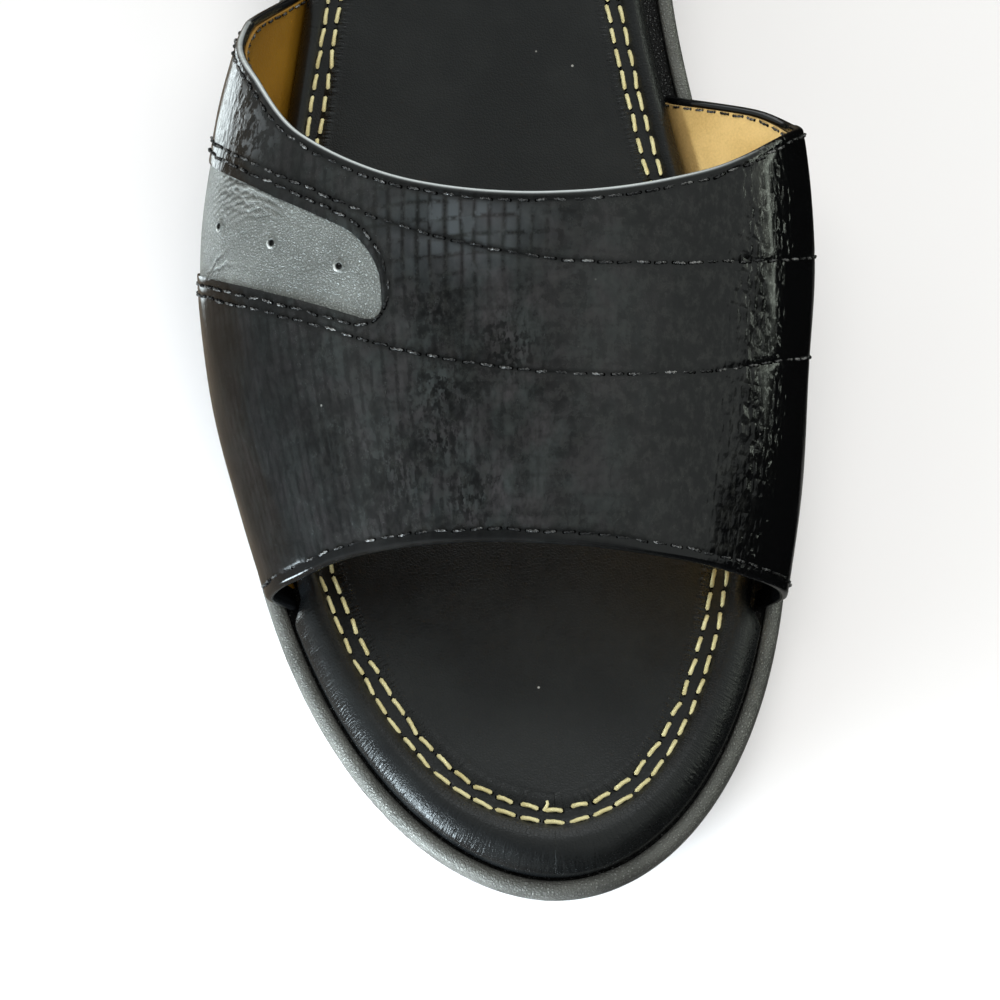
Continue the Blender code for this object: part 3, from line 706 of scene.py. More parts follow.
window = dict(end=0.403, frontMargin=3.0, backMargin=3.4, backCorner=5.8, frontCorner=2.9, backTurn=0.032,
              frontTurn=0.017, rowBack=1.75, rowEnd=1.15, rowFront=1.4, relax=0.05,
              close=(0.0006, 0.0014, 0.0026, 0.0042), beyond=0.0068)


def sectionAt(column, s):
    return curveThrough(sections["station"], sections[column], s)


def edgeAt(column, t):
    return curveThrough(edges["girth"], edges[column], np.clip(t, 0.0, 1.0))


def strapFoot(rim, side, s):
    slope = rim(s + 0.5) - rim(s - 0.5)
    return rim(s) - side * strap["footInset"] * np.hypot(1.0, slope)


def strapPoint(s, t):
    s, t = np.broadcast_arrays(np.asarray(s, float), np.asarray(t, float))
    apexX, lateral, medial = sectionAt("apexX", s), sectionAt("lateral", s), sectionAt("medial", s)
    apexZ = shoe["platform"] + sectionAt("apexRise", s)
    widest = shoe["platform"] + strap["widestRise"] + strap["widestSlope"] * (s - strap["widestAt"])
    footZ = rimHeight(s) - shoe["trayDepth"] + shoe["seatGap"]
    outer = t < strap["apex"]
    reach = np.where(outer, lateral, medial)
    power = np.where(outer, 2.0 / strap["lateralPower"], 2.0 / strap["medialPower"])
    rise = np.where(outer, (t - strap["lateral"]) / (strap["apex"] - strap["lateral"]),
                    (strap["medial"] - t) / (strap["medial"] - strap["apex"]))
    angle = np.clip(rise, 0.0, 1.0) * np.pi / 2.0
    x = apexX + (reach - apexX) * np.maximum(np.cos(angle), 0.0) ** power
    z = widest + (apexZ - widest) * np.sin(angle) ** power
    share = np.where(outer, t / strap["lateral"], (1.0 - t) / (1.0 - strap["medial"]))
    foot = np.where(outer, strapFoot(lateralRim, -1.0, s), strapFoot(medialRim, 1.0, s))
    below = share < 1.0
    x = np.where(below, foot + (reach - foot) * ease(share), x)
    z = np.where(below, footZ + (widest - footZ) * share, z)
    return np.stack((x, s, z), -1)


def strapSlopes(s, t):
    along = strapPoint(s + 0.5, t) - strapPoint(s - 0.5, t)
    across = (strapPoint(s, t + 0.004) - strapPoint(s, t - 0.004)) / 0.008
    return along, across


def strapNormal(s, t):
    along, across = strapSlopes(s, t)
    return unit(np.cross(across, along))


def strapLift(s, t, lift):
    lift = np.broadcast_to(lift, np.shape(s))
    return strapPoint(s, t) + strapNormal(s, t) * lift[..., None]


def besideLine(s, t, distance):  # shift a line on the strap squarely to itself, in millimetres
    s, t = np.asarray(s, float), np.asarray(t, float)
    along, across = strapSlopes(s, t)
    length = lengthAlong(strapPoint(s, t))
    runS, runT = np.gradient(s, length), np.gradient(t, length)
    run = along * runS[:, None] + across * runT[:, None]
    stepS = np.einsum("ij,ij->i", across, run)
    stepT = -np.einsum("ij,ij->i", along, run)
    size = np.linalg.norm(along * stepS[:, None] + across * stepT[:, None], axis=1)
    return s + stepS / size * distance, t + stepT / size * distance


def windowSides(t, margin=0.0):
    def drop(turn, corner):
        reach = np.clip((t - window["end"] + turn) / turn, 0.0, 1.0)
        return corner * (1.0 - np.sqrt(1.0 - reach ** 2))

    front = edgeAt("sewnFront", t) + window["frontMargin"] + margin
    back = edgeAt("sewnBack", t) - window["backMargin"] - margin
    return (front + drop(window["frontTurn"], window["frontCorner"]),
            back - drop(window["backTurn"], window["backCorner"]))


def windowGirths(low, sideSteps, cornerSteps):
    turn = window["end"] - window["backTurn"]
    side = np.linspace(low, turn, sideSteps, endpoint=False)
    corner = turn + window["backTurn"] * np.sin(np.pi / 2.0 * np.arange(cornerSteps + 1) / cornerSteps)
    return np.concatenate((side, corner))


def windowLine():  # up the front side, round the end, down the back side
    t = windowGirths(0.0, 140, 40)
    front, back = windowSides(t)
    endS = np.linspace(front[-1], back[-1], 12)[1:-1]
    s = np.concatenate((front, endS, back[::-1]))
    return s, np.concatenate((t, np.full(len(endS), window["end"]), t[::-1]))


def evenLine(s, t, spacing):
    length = lengthAlong(strapPoint(s, t))
    at = np.linspace(0.0, length[-1], int(length[-1] / spacing) + 1)
    return np.interp(at, length, s), np.interp(at, length, t)


def soften(s, t, reach=5):  # rounds the row's way at the corners, ends kept
    weights = np.ones(2 * reach + 1) / (2 * reach + 1)

    def smooth(values):
        early = 2.0 * values[0] - values[reach:0:-1]
        late = 2.0 * values[-1] - values[-2:-reach - 2:-1]
        return np.convolve(np.concatenate((early, values, late)), weights, "valid")

    return smooth(s), smooth(t)


def sewnLines():  # the strap's five stitch rows, as stations and girths
    t = np.linspace(0.0, 1.0, 400)
    lines = {"front": besideLine(edgeAt("front", t), t, strap["stitchFront"]),
             "back": besideLine(edgeAt("back", t), t, -strap["stitchBack"]),
             "sewnFront": (edgeAt("sewnFront", t), t), "sewnBack": (edgeAt("sewnBack", t), t)}
    s, t = evenLine(*windowLine(), 0.5)
    share = np.linspace(0.0, 1.0, len(s))
    endShare = share[np.argmax(t)]
    gap = np.where(share < endShare, window["rowFront"], window["rowBack"])
    gap = gap + (window["rowEnd"] - gap) * bell((share - endShare) * len(s) * 0.5, 7.0)
    lines["window"] = soften(*besideLine(s, t, -gap))
    return {name: evenLine(*line, 0.25) for name, line in lines.items()}


sewn = sewnLines()


def gapTo(lines, points):  # how far each point is from the nearest line
    marks = np.concatenate([strapPoint(*line) for line in lines])
    tree = kdtree.KDTree(len(marks))
    for index, point in enumerate(marks):
        tree.insert(point, index)
    tree.balance()
    return np.array([tree.find(point)[2] for point in points])


def betweenRows(first, last, count, gather=True):  # rows from first up to last, last left out
    share = np.arange(count) / count
    share = (1.0 - np.cos(np.pi * share)) / 2.0 if gather else share
    return [tuple(low + (high - low) * part for low, high in zip(first, last)) for part in share]


def foldRows(edgeS, t, inward):  # turned-in edge: hidden hem, then round the fold to the outer face
    fold = strap["fold"]
    rows = [(*besideLine(edgeS, t, inward * (fold + strap["foldReach"] * part)), -2.0 * fold)
            for part in (1.0, 0.6, 0.25)]
    for angle in np.linspace(math.pi, 0.0, 12, endpoint=False):
        depth = fold * (1.0 - math.sin(angle))
        rows.append((*besideLine(edgeS, t, inward * depth), fold * (math.cos(angle) - 1.0)))
    return rows


def patentRows():  # front part, the middle beyond the window's end, and back part
    low = windowGirths(0.0, 112, 20)
    end = window["end"]
    t = np.concatenate((low, end + np.array(window["close"]), np.linspace(end + window["beyond"], 1.0, 190)))
    relax = np.where(t > end, 1.0 - fade(t, end, window["relax"]), 1.0)
    frontEdge, backEdge = edgeAt("front", t), edgeAt("back", t)
    frontSewn, backSewn = edgeAt("sewnFront", t), edgeAt("sewnBack", t)
    frontLine, backLine = windowSides(np.minimum(t, end))
    frontFree = frontSewn + window["frontMargin"] + window["frontCorner"] * relax
    backFree = backSewn - window["backMargin"] - window["backCorner"] * relax
    frontLine = np.where(t > end, frontFree, frontLine)
    backLine = np.where(t > end, backFree, backLine)
    frontWay = [besideLine(frontEdge, t, strap["fold"]), besideLine(frontEdge, t, strap["stitchFront"]),
                (frontSewn, t), (frontLine - window["rowFront"], t), (frontLine, t)]
    backWay = [(backLine, t), (backLine + window["rowBack"], t), (backSewn, t),
               besideLine(backEdge, t, -strap["stitchBack"]), besideLine(backEdge, t, -strap["fold"])]

    def outerFace(way, counts):
        rows = [row for stretch in zip(way, way[1:], counts) for row in betweenRows(*stretch)]
        return [(*row, 0.0) for row in rows + [way[-1]]]

    front = foldRows(frontEdge, t, 1.0) + outerFace(frontWay, (6, 30, 6, 8))
    back = outerFace(backWay, (8, 6, 14, 6)) + foldRows(backEdge, t, -1.0)[::-1]
    middle = [(*row, 0.0) for row in betweenRows((frontLine, t), (backLine, t), 11, False)[1:]]
    blocks = [np.array([np.stack(np.broadcast_arrays(*row)) for row in rows])
              for rows in (front, middle, back)]
    blocks[1] = blocks[1][:, :, len(low) - 1:]
    return blocks


def patentFaces(blocks):
    frontCount, middleCount, backCount = (block.shape[0] for block in blocks)
    columns, inner = blocks[0].shape[2], blocks[1].shape[2]
    middleStart = frontCount * columns
    backStart = middleStart + middleCount * inner
    span = np.arange(inner)
    rows = [middleStart - inner + span]
    rows += [middleStart + row * inner + span for row in range(middleCount)]
    rows += [backStart + columns - inner + span]
    faces = gridFaces(frontCount, columns) + gridFaces(backCount, columns, backStart)
    return faces + quads(np.array(rows[:-1]), np.array(rows[1:]))


def makePatent():
    blocks = patentRows()
    stations, girths, lifts = (np.concatenate([block[:, part].ravel() for block in blocks])
                               for part in range(3))
    base = strapPoint(stations, girths)
    outside = lifts > -0.01
    rowGap = gapTo(sewn.values(), base)
    edgeGap = gapTo([windowLine()], base)
    lifts = lifts - outside * strap["stitchSink"] * bell(rowGap, strap["stitchSinkWidth"])
    lifts = lifts - outside * strap["windowSink"] * bell(edgeGap, strap["windowSinkWidth"])
    lifts = lifts + strap["ripple"] * np.sin(stations * 0.23 + girths * 31.0) * np.sin(girths * 47.0 + 0.8)
    piece = addPiece("strapPatent", strapLift(stations, girths, lifts), patentFaces(blocks), patent)
    setUv(piece, np.column_stack((girths * strap["girth"], stations * strap["slant"])))

    def gapRound(girth):
        return (girths - girth) * strap["girth"]

    pastFront = stations - edgeAt("front", girths)
    pastBack = stations - edgeAt("back", girths)
    embossGap = np.hypot(gapRound(worn["emboss"][0]) / worn["embossReach"][0],
                         (stations - worn["emboss"][1]) / worn["embossReach"][1])
    hem = np.maximum(fade(pastFront, *worn["frontHem"]), fade(pastBack, *worn["backHem"]))
    spots = np.zeros(stations.shape)
    for at, girth, reach in zip(*stains.values()):  # clusters of dark dabs
        spots = np.maximum(spots, bell(np.hypot(stations - at, gapRound(girth)), reach))
    # less of the lighter worn haze and painted sheen towards the outer side
    clean = worn["cleanShare"] + (1.0 - worn["cleanShare"]) * fade(girths, *worn["clean"])
    streak = bell(gapRound(worn["streakAt"]), worn["streakReach"])
    corner = fade(stations, *worn["cornerBack"]) * fade(girths, *worn["cornerTop"])
    corner = worn["corner"] * corner * fade(girths, *worn["cornerFoot"])
    # where the back edge's fold gets its pale line: painted highlight
    turned = bell(pastBack + worn["foldAt"], worn["foldWidth"]) * (lifts > worn["foldInside"])
    setPoints(piece, emboss=bell(embossGap, 1.0), spots=spots, wear=fade(girths, *worn["wear"]) * clean,
              # seam: painted shadow along the stitch rows, plain black on the hems
              seam=np.maximum(bell(rowGap, worn["seamWidth"]), worn["hemShare"] * hem),
              hazy=fade(girths, *worn["hazyEnd"]) * fade(girths, *worn["hazyStart"]),
              scuff=fade(stations, *worn["scuff"]) * bell(girths - worn["scuffAt"], worn["scuffReach"]),
              fold=turned * fade(girths, *worn["foldStart"]) * fade(girths, *worn["foldEnd"]),
              leaning=streak, dimple=np.clip(streak + corner, 0.0, worn["corner"]))
    return piece


def outwardSheet(piece):  # turn a sheet so its faces look away from the foot
    faces = piece.data.polygons
    away = meshValues(faces, "center", 3) / mm - (strap["middleX"], 0.0, strap["middleZ"])
    away[:, 1] = 0.0
    facing = (meshValues(faces, "normal", 3) * away).sum(1) * meshValues(faces, "area", 1)
    if facing.sum() < 0:
        piece.data.flip_normals()


def makeSheet(piece, thickness, sharp=True):
    outwardSheet(piece)
    thicken(piece, thickness)
    if sharp:
        piece.data.set_sharp_from_angle(angle=math.radians(strap["sharpAngle"]))
    return piece


strapPatent = makeSheet(makePatent(), strap["sheet"])
print("strap made", len(strapPatent.data.polygons))


def makeLining():
    t = np.linspace(0.0, 1.0, 150)
    setBack = fade(t, *strap["liningMedial"]) + strap["liningLateralShare"] * fade(t, *strap["liningLateral"])
    front = besideLine(edgeAt("front", t), t, strap["liningFrom"] + strap["liningInner"] * setBack)
    back = besideLine(edgeAt("back", t), t, -strap["liningBack"])
    rows = np.array(betweenRows(front, back, 40, False) + [back])
    points = strapLift(rows[:, 0].ravel(), rows[:, 1].ravel(), strap["liningLift"])
    return addPiece("strapLining", points, gridFaces(len(rows), len(t)), tanLining)


strapLining = makeSheet(makeLining(), strap["lining"])

# window panel: pewter leather under the patent, creased towards the outer side, three pinholes
# darker creases and pinholes here are painted shade, the pale ridges beside the creases painted highlight
panel = dict(lift=-0.42, thickness=0.4, under=0.8, start=0.004, endReach=0.02, endUnder=0.004, rows=130,
             sideSteps=300, cornerSteps=30, creaseDepth=0.19, creaseWidth=0.26, creaseBow=0.02,
             creaseDark=0.45, ridge=0.3, ridgeAt=0.44, ridgeWidth=0.2, holeDepth=0.34, holeWidth=0.5,
             holeDark=0.42)
pinholes = dict(station=(99.7, 93.5, 87.8), girth=(0.223, 0.302, 0.368))
creases = dict(station=(106.3, 105.4, 104.5, 103.7, 102.8, 102.0, 101.1, 100.2, 99.4, 98.4, 94.6, 93.4),
               girth=(0.252, 0.250, 0.255, 0.250, 0.258, 0.262, 0.262, 0.268, 0.272, 0.275, 0.212, 0.222),
               lean=(-0.26, -0.25, -0.25, -0.24, -0.23, -0.20, -0.19, -0.17, -0.16, -0.14, 0.21, -0.06),
               reach=(7.0, 8.0, 9.0, 8.5, 9.5, 9.0, 8.0, 8.5, 7.0, 6.0, 4.5, 5.5),
               depth=(0.8, 1.0, 0.8, 1.0, 0.9, 0.8, 0.9, 0.7, 0.7, 0.5, 1.0, 0.9))


def makePanel():
    t = windowGirths(panel["start"], panel["sideSteps"], panel["cornerSteps"])
    front, back = windowSides(t, -panel["under"])
    nearEnd = np.maximum(0.0, t - window["end"] + panel["endReach"])
    wide = t + nearEnd / panel["endReach"] * panel["endUnder"]
    share = np.linspace(0.0, 1.0, panel["rows"])[:, None]
    stations = (front + (back - front) * share).ravel()
    girths = np.broadcast_to(wide, (panel["rows"], len(t))).ravel()
    lift = np.full(stations.shape, panel["lift"])
    hole, ridge = np.zeros(stations.shape), np.zeros(stations.shape)
    for at, girth, lean, reach, depth in zip(*creases.values()):
        across = (girths - girth) * strap["girth"]
        off = stations - at - lean * across + panel["creaseBow"] * across ** 2
        off += 0.16 * np.sin(across * 1.3 + at * 2.1) + 0.09 * np.sin(across * 3.3 + at * 5.0)
        deep = depth * bell(across, reach)
        valley = deep * bell(off, panel["creaseWidth"])
        lift -= panel["creaseDepth"] * valley
        # darker along each crease: painted shade
        hole = np.maximum(hole, panel["creaseDark"] * valley)
        # a pale line beside each crease: painted highlight
        ridge = np.maximum(ridge, panel["ridge"] * deep * bell(off - panel["ridgeAt"], panel["ridgeWidth"]))
    base = strapPoint(stations, girths)
    for at, girth in zip(*pinholes.values()):
        gap = np.linalg.norm(base - strapPoint(at, girth), axis=1)
        lift -= panel["holeDepth"] * bell(gap, panel["holeWidth"])
        # darker in each pinhole: painted shade
        hole = np.maximum(hole, bell(gap, panel["holeDark"]))
    points = strapLift(stations, girths, lift)
    piece = addPiece("insetPanel", points, gridFaces(panel["rows"], len(t)), insetPewter)
    setPoints(piece, hollow=hole, rubbed=ridge)
    return piece


insetPanel = makeSheet(makePanel(), panel["thickness"], False)

lip = dict(reach=(1.08, 0.90, 0.76, 0.64, 0.54, 0.46, 0.42), pitReach=0.5, paleFrom=0.6, paleTo=0.95,
           rise=(-0.03, 0.08, 0.19, 0.22, 0.12, -0.04, -0.14), paleTurn=0.5, sides=28)


def makeLips():  # raised rim and dark pit of each pinhole; the pit's dark is painted shade, the rim's pale crescent painted highlight
    turn = np.linspace(0.0, 2.0 * np.pi, lip["sides"], endpoint=False)
    points, faces, dark, pale = [], [], [], []
    for at, girth in zip(*pinholes.values()):
        centre = strapLift(at, girth, panel["lift"])
        normal = strapNormal(at, girth)
        along = strapSlopes(at, girth)[0]
        along = unit(along - normal * (along @ normal))
        across = np.cross(along, normal)
        side = np.sign(across[0])
        # pale crescent on the side of each rim facing the light: painted highlight
        crescent = np.maximum(0.0, -np.cos(turn - lip["paleTurn"] * side) * side) ** 1.5
        circle = np.cos(turn)[:, None] * across + np.sin(turn)[:, None] * along
        start = len(points) * lip["sides"]
        for reach, rise in zip(lip["reach"], lip["rise"]):
            points.append(centre + normal * rise + reach * circle)
            dark.append(np.full(lip["sides"], 1.0 if rise < 0.0 and reach < lip["pitReach"] else 0.0))
            pale.append(crescent * (lip["paleFrom"] < reach < lip["paleTo"]))
        faces += gridFaces(len(lip["reach"]), lip["sides"], start, True)
        last = start + lip["sides"] * (len(lip["reach"]) - 1)
        faces.append(list(range(last, last + lip["sides"])))
    piece = addPiece("insetPinholes", np.concatenate(points), faces, insetPewter)
    setPoints(piece, hollow=np.concatenate(dark), rubbed=np.concatenate(pale))
    outwardSheet(piece)
    return piece


insetPinholes = makeLips()
print("lining and window panel made")

# stitches: a thread arch repeated along a path
stitch = dict(rings=9, sides=6, archPower=0.6, archSink=0.5, slimEnd=0.22, slimPower=0.62, skew=0.13,
              skewUp=0.05, shortest=0.84, longest=1.10, holeSides=8, holeWidth=0.52, holeAt=0.96,
              holeLift=0.02)


def stitchTree():
    tree = bpy.data.node_groups.new("stitchRow", "GeometryNodeTree")
    kinds = dict(Path="Geometry", Pitch="Float", Length="Float", Width="Float", Flatness="Float",
                 Arch="Float", Twist="Float", Wander="Float", Seed="Int", Thread="Material", Hole="Material")
    for label, kind in kinds.items():
        tree.interface.new_socket(label, in_out="INPUT", socket_type="NodeSocket" + kind)
    tree.interface.new_socket("Stitches", in_out="OUTPUT", socket_type="NodeSocketGeometry")
    sockets = tree.nodes.new("NodeGroupInput").outputs
    entry = {label: Wire(tree, sockets[label]) for label in kinds}
    leave = tree.nodes.new("NodeGroupOutput")

    def vector(x=0.0, y=0.0, z=0.0):
        return addNode(tree, "ShaderNodeCombineXYZ", {0: x, 1: y, 2: z})

    def step(kind, geometry, inputs=None, **settings):  # a node that works on what the last one made
        return addNode(tree, "GeometryNode" + kind, {0: geometry, **(inputs or {})}, **settings)

    def spread(low, high, seed):
        inputs = {0: low, 1: high, "Seed": seed}
        return addNode(tree, "FunctionNodeRandomValue", inputs, data_type="FLOAT_VECTOR")

    half = entry["Length"] * 0.5
    ends = {"Start": vector(half * -1.0), "End": vector(half)}
    line = addNode(tree, "GeometryNodeCurvePrimitiveLine", ends)
    thread = step("ResampleCurve", line, {"Count": stitch["rings"]}, mode="COUNT")
    factor = addNode(tree, "GeometryNodeSplineParameter", None, "Factor")
    middle = (factor * math.pi).maths("SINE")
    lifted = (middle.maths("POWER", stitch["archPower"]) - stitch["archSink"]) * entry["Arch"]
    thread = step("SetPosition", thread, {"Offset": vector(z=lifted)})
    slim = middle.maths("POWER", stitch["slimPower"]) * (1.0 - stitch["slimEnd"]) + stitch["slimEnd"]
    thread = step("SetCurveRadius", thread, {"Radius": slim})
    thread = step("SetCurveTilt", thread, {"Tilt": factor * entry["Twist"]})
    ring = addNode(tree, "GeometryNodeCurvePrimitiveCircle",
                   {"Resolution": stitch["sides"], "Radius": entry["Width"] * 0.5}, mode="RADIUS")
    section = step("Transform", ring, {"Scale": vector(1.0, entry["Flatness"], 1.0)})
    solid = step("CurveToMesh", thread, {"Profile Curve": section, "Fill Caps": True})
    spots = step("MeshToCurve", entry["Path"])
    spots = step("ResampleCurve", spots, {"Length": entry["Pitch"]}, mode="LENGTH")
    wander = entry["Wander"]
    shift = spread(vector(wander * -1.0, wander * -1.0), vector(wander, wander), entry["Seed"])
    spots = step("SetPosition", spots, {"Offset": shift})
    skew = np.array((stitch["skew"], stitch["skew"], stitch["skewUp"]))
    skew = spread(-skew, skew, entry["Seed"] + 7.0)
    tangent = addNode(tree, "GeometryNodeInputTangent")
    tangent = addNode(tree, "ShaderNodeVectorMath", {0: tangent, 1: skew}, operation="ADD")
    upward = addNode(tree, "GeometryNodeInputNamedAttribute", {"Name": "up"}, data_type="FLOAT_VECTOR")
    facing = addNode(tree, "FunctionNodeAlignRotationToVector", {"Vector": tangent}, axis="X")
    facing = addNode(tree, "FunctionNodeAlignRotationToVector", {"Rotation": facing, "Vector": upward},
                     axis="Z", pivot_axis="X")
    lengths = {2: stitch["shortest"], 3: stitch["longest"], "Seed": entry["Seed"]}
    grow = addNode(tree, "FunctionNodeRandomValue", lengths, 1, data_type="FLOAT")
    size = {"Vertices": stitch["holeSides"], "Radius": entry["Width"] * stitch["holeWidth"]}
    disc = addNode(tree, "GeometryNodeMeshCircle", size, fill_type="NGON")
    holes = addNode(tree, "GeometryNodeJoinGeometry")
    for end in (-1.0, 1.0):  # needle holes at both ends of a stitch, dark discs of painted shade
        place = vector(half * (stitch["holeAt"] * end), z=stitch["holeLift"] * mm)
        setInputs(holes.socket.node, {0: step("Transform", disc, {"Translation": place})})
    both = addNode(tree, "GeometryNodeJoinGeometry")
    for shape, material in ((holes, "Hole"), (solid, "Thread")):
        placed = step("InstanceOnPoints", spots, {"Instance": shape, "Rotation": facing,
                                                  "Scale": vector(grow, 1.0, 1.0)})
        smooth = step("SetShadeSmooth", step("RealizeInstances", placed))
        setInputs(both.socket.node, {0: step("SetMaterial", smooth, {"Material": entry[material]})})
    setInputs(leave, {0: both})
    return tree


stitchNodes = stitchTree()
threadSizes = ("Pitch", "Length", "Width", "Arch", "Wander")  # in millimetres


def sewRows(name, rows, closed, size, material, seed):  # rows of points with their surface normals
    points, ups, lines = [], [], []
    for path, up in rows:
        index = np.arange(len(path)) + sum(len(part) for part in points)
        points.append(path)
        ups.append(up)
        lines += np.column_stack((index[:-1], index[1:])).tolist()
        if closed:
            lines.append([int(index[-1]), int(index[0])])
    mesh = bpy.data.meshes.new(name)
    mesh.from_pydata(toWorld(np.concatenate(points)).tolist(), lines, [])
    layer = mesh.attributes.new("up", "FLOAT_VECTOR", "POINT")
    layer.data.foreach_set("vector", np.concatenate(ups).astype(np.float32).ravel())
    piece = linkObject(name, mesh)
    sewing = piece.modifiers.new("stitches", "NODES")
    sewing.node_group = stitchNodes
    ids = {item.name: item.identifier for item in stitchNodes.interface.items_tree if item.in_out == "INPUT"}
    for label, value in size.items():
        sewing[ids[label]] = value * (mm if label in threadSizes else 1.0)
    sewing[ids["Seed"]] = seed
    sewing[ids["Thread"]] = material
    sewing[ids["Hole"]] = threadHole
    plainMesh(piece)
    print(name, len(piece.data.polygons), "faces")
    return piece


strapThread = dict(Pitch=2.78, Length=1.95, Width=0.50, Flatness=0.50, Arch=0.46, Twist=9.0, Wander=0.13)
padThread = dict(Pitch=3.85, Length=3.0, Width=0.80, Flatness=0.86, Arch=0.60, Twist=3.0, Wander=0.12)


def strapRows():
    rows = []
    for line in sewn.values():
        s, t = evenLine(*line, 0.5)
        rows.append((strapLift(s, t, strap["stitchLift"] - strap["stitchSink"]), strapNormal(s, t)))
    s, t = evenLine(*sewn["back"], 0.5)  # the back row shows on the lining too
    under = strap["liningLift"] - strap["lining"] + strap["liningStitch"]
    rows.append((strapLift(s, t, under), -strapNormal(s, t)))
    return rows


def padRows():
    loop = soleOutline(pad["steps"])
    inset, rise = padProfile(400)
    top = slice(60, None)  # from where the roll's profile runs inwards only
    rows = []
    for at in (pad["rowOuter"], pad["rowInner"]):
        height = float(np.interp(at, inset[top], rise[top])) - pad["rowSink"] + pad["rowLift"]
        path = padRow(loop, at, height)
        inward = padRow(loop, at + 0.5, height) - path
        up = np.cross(inward, np.roll(path, -1, 0) - np.roll(path, 1, 0))
        rows.append((path, unit(up) * np.sign(up[:, 2:3])))
    return rows


strapStitches = sewRows("strapStitches", strapRows(), False, strapThread, blackThread, 5)
padStitches = sewRows("footbedStitches", padRows(), True, padThread, creamThread, 11)

looseEnd = dict(atX=7.4, toeReach=40.0, radius=0.27, sides=8, inward=(-0.2, 0.3, 0.7, 1.05, 1.3),
                along=(0.7, 0.35, 0.2, 0.32, 0.2), lift=(0.0, 0.5, 0.66, 0.55, 0.12),
                slim=(1.0, 1.0, 0.95, 0.85, 0.5))


def makeLooseEnd():  # the sewn end of the inner row, standing up at the toe
    path, up = padRows()[1]
    atToe = path[:, 1] <= looseEnd["toeReach"]
    near = int(np.argmin(np.where(atToe, np.abs(path[:, 0] - looseEnd["atX"]), np.inf)))
    run = unit(path[near + 1] - path[near - 1])
    inward = np.cross(run, up[near])
    inward = inward * np.sign(inward[1])
    steps = np.column_stack((looseEnd["inward"], looseEnd["along"], looseEnd["lift"]))
    line = path[near] + steps @ np.array((inward, run, up[near]))
    tangent = unit(np.gradient(line, axis=0))
    side = unit(np.cross(tangent, run))
    other = np.cross(tangent, side)
    sides = looseEnd["sides"]
    turn = np.linspace(0.0, 2.0 * np.pi, sides, endpoint=False)
    slim = looseEnd["radius"] * np.array(looseEnd["slim"])
    ring = np.cos(turn)[None, :, None] * side[:, None] + np.sin(turn)[None, :, None] * other[:, None]
    points = line[:, None] + slim[:, None, None] * ring
    last = (len(line) - 1) * sides
    faces = gridFaces(len(line), sides, closed=True)
    faces += [list(range(sides)), list(range(last, last + sides))[::-1]]
    piece = addPiece("footbedThreadEnd", points.reshape(-1, 3), faces, creamThread)
    faceOutward(piece)
    return piece


threadEnd = makeLooseEnd()

# seat every piece on the frame
for piece, node, slot in ((outsoleRubber, "outsole", "black_rubber"), (wedgeWrap, "wedge", "pewter_leather"),
                          (footbedPad, "footbed", "black_leather"), (strapPatent, "upper", "patent_leather"),
                          (insetPanel, "inset", "pewter_leather")):
    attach(piece, "root")
    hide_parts(node)
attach(strapLining, "root")
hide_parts("upper")
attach(insetPinholes, "root")
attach(strapStitches, "root")
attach(padStitches, "root")
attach(threadEnd, "root")
print("pieces seated")

# floor, light and camera
floorSize = 6.0
room = dict(upper=(0.51, 0.545, 0.53), lowLeft=(0.30, 0.25, 0.19), lowRight=(0.003, 0.003, 0.003),
            underRight=(0.22, 0.22, 0.21), band=(0.98, 1.05, 0.9), sill=(6.0, 6.7, 5.8))
# soft round patches of the room: three dim walls, then light from behind, from below and from a sill
patches = dict(azimuth=(-122.0, 196.0, 270.0, 88.0, 140.0, 210.0),
               height=(60.0, 20.0, 38.0, 41.0, -30.0, -5.0), inner=(8.0, 9.0, 10.0, 5.0, 10.0, 4.0),
               outer=(26.0, 27.0, 28.0, 17.0, 18.0, 11.0),
               colour=((0.153, 0.1635, 0.159), (0.2805, 0.29975, 0.2915), (0.1785, 0.19075, 0.1855),
                       (2.2, 2.35, 2.4), (3.6, 4.0, 4.1), (22.0, 26.0, 28.0)))


def makeFloor():
    size = floorSize / mm
    corners = [(-size, -size, 0.0), (size, -size, 0.0), (size, size, 0.0), (-size, size, 0.0)]
    piece = addPiece("floor", corners, [[0, 1, 2, 3]], floorFinish())
    piece.visible_glossy = False


def direction(azimuth, height):
    turn, lean = math.radians(azimuth), math.radians(height)
    return Vector((math.cos(turn) * math.cos(lean), math.sin(turn) * math.cos(lean), math.sin(lean)))


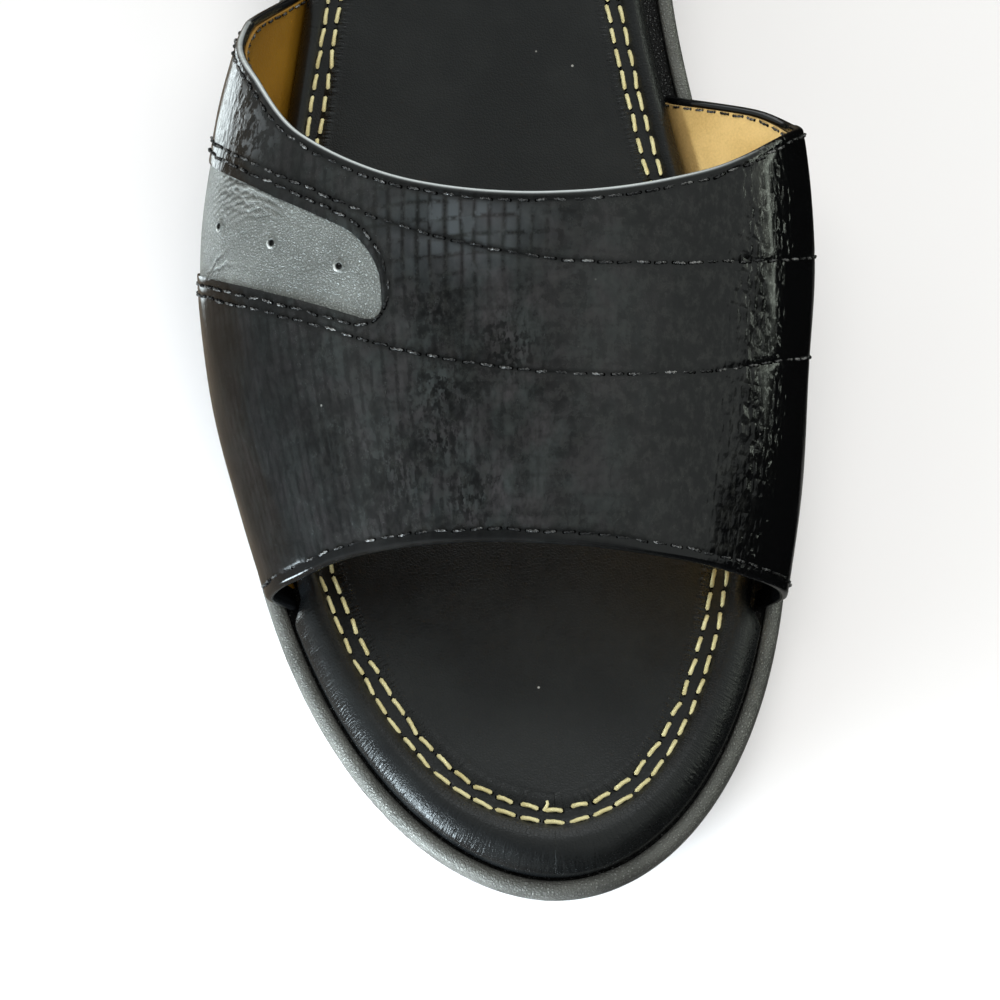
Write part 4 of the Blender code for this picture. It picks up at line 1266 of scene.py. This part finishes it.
def makeWorld():
    world = bpy.data.worlds.new("softRoom")
    bpy.context.scene.world = world
    world.use_nodes = True
    tree = world.node_tree
    place = coordinates(tree, "Generated")
    toRight, toBack, up = place.parts()
    right = toRight.ramp(-0.35, 0.45)
    lowRight = up.ramp(-0.93, -0.80).blend(room["underRight"], room["lowRight"])
    low = toRight.ramp(-0.6, 0.3).blend(room["lowLeft"], lowRight)
    near = right * (1.0 - up.ramp(0.16, 0.36)) * toBack.ramp(-0.08, 0.02)
    upper = near.blend(room["upper"], room["band"])  # brighter wall low on the right
    edge = toBack.ramp(0.02, -0.08, 0.02, 0.30)  # the dark corner rises to the front right
    edge = edge + toBack.ramp(-0.08, -0.35, 0.0, 0.2, "LINEAR")
    edge = right * (edge - 0.05) + 0.07
    soft = right * -0.15 + 0.19
    colour = up.ramp(edge - soft, edge + soft).blend(low, upper)
    above = up - edge
    sill = above.ramp(0.0, 0.02) * above.ramp(0.08, 0.04)  # a lit sill on the right
    sill = sill * toRight.ramp(0.45, 0.7) * toBack.ramp(-0.06, 0.0)
    colour = sill.blend(colour, room["sill"])
    for azimuth, height, inner, outer, tint in zip(*patches.values()):
        inputs = {0: place, 1: direction(azimuth, height)}
        facing = addNode(tree, "ShaderNodeVectorMath", inputs, "Value", operation="DOT_PRODUCT")
        patch = facing.ramp(math.cos(math.radians(outer)), math.cos(math.radians(inner)))
        colour = patch.blend(colour, tint)
    setInputs(tree.nodes["Background"], {"Color": colour})


lamps = dict(name=("overhead", "lowFront", "backWindow"), kind=("AREA", "POINT", "AREA"),
             azimuth=(300.0, 235.0, 100.0), height=(80.0, -8.0, 12.0), away=(1.4, 0.138, 1.0),
             wide=(1.0, 0.10, 1.0), tall=(1.0, 0.03, 0.36), glow=(4.2, 72.0, 1.4),
             tint=((1.0, 0.99, 0.97), (0.82, 0.93, 1.0), (0.95, 0.98, 1.0)),
             lights=("surface", "surface", "gloss"))
lampAim = (0.0, -0.055, 0.035)


def makeLamps():
    for name, kind, azimuth, height, away, wide, tall, glow, tint, lights in zip(*lamps.values()):
        data = bpy.data.lights.new(name, kind)
        data.color = tint
        if kind == "AREA":
            data.shape = "RECTANGLE"
            data.size, data.size_y = wide, tall
            data.energy = glow * math.pi * wide * tall
        else:
            data.shadow_soft_size = tall
            data.energy = glow * 4.0 * math.pi * wide * tall
        lamp = linkObject(name, data)
        lamp.visible_glossy = lights != "surface"
        lamp.visible_diffuse = lights != "gloss"
        toward = direction(azimuth, height)
        lamp.location = Vector(lampAim) + toward * away
        lamp.rotation_euler = toward.to_track_quat("Z", "Y").to_euler()


view = dict(lens=92.887, sensor=36.0, nearest=0.01, elevation=67.0, away=0.4, aim=(-0.00092, -0.0688, 0.038))


def makeCamera():
    data = bpy.data.cameras.new("photoCamera")
    data.sensor_width = view["sensor"]
    data.lens = view["lens"]
    data.clip_start = view["nearest"]
    camera = linkObject("photoCamera", data)
    lean = math.radians(view["elevation"])
    camera.location = Vector(view["aim"]) + Vector((0.0, -math.cos(lean), math.sin(lean))) * view["away"]
    camera.rotation_euler = (math.pi / 2.0 - lean, 0.0, 0.0)
    bpy.context.scene.camera = camera


makeFloor()
makeWorld()
makeLamps()
makeCamera()
bpy.context.scene.view_settings.view_transform = "Standard"
print("floor, light and camera set")
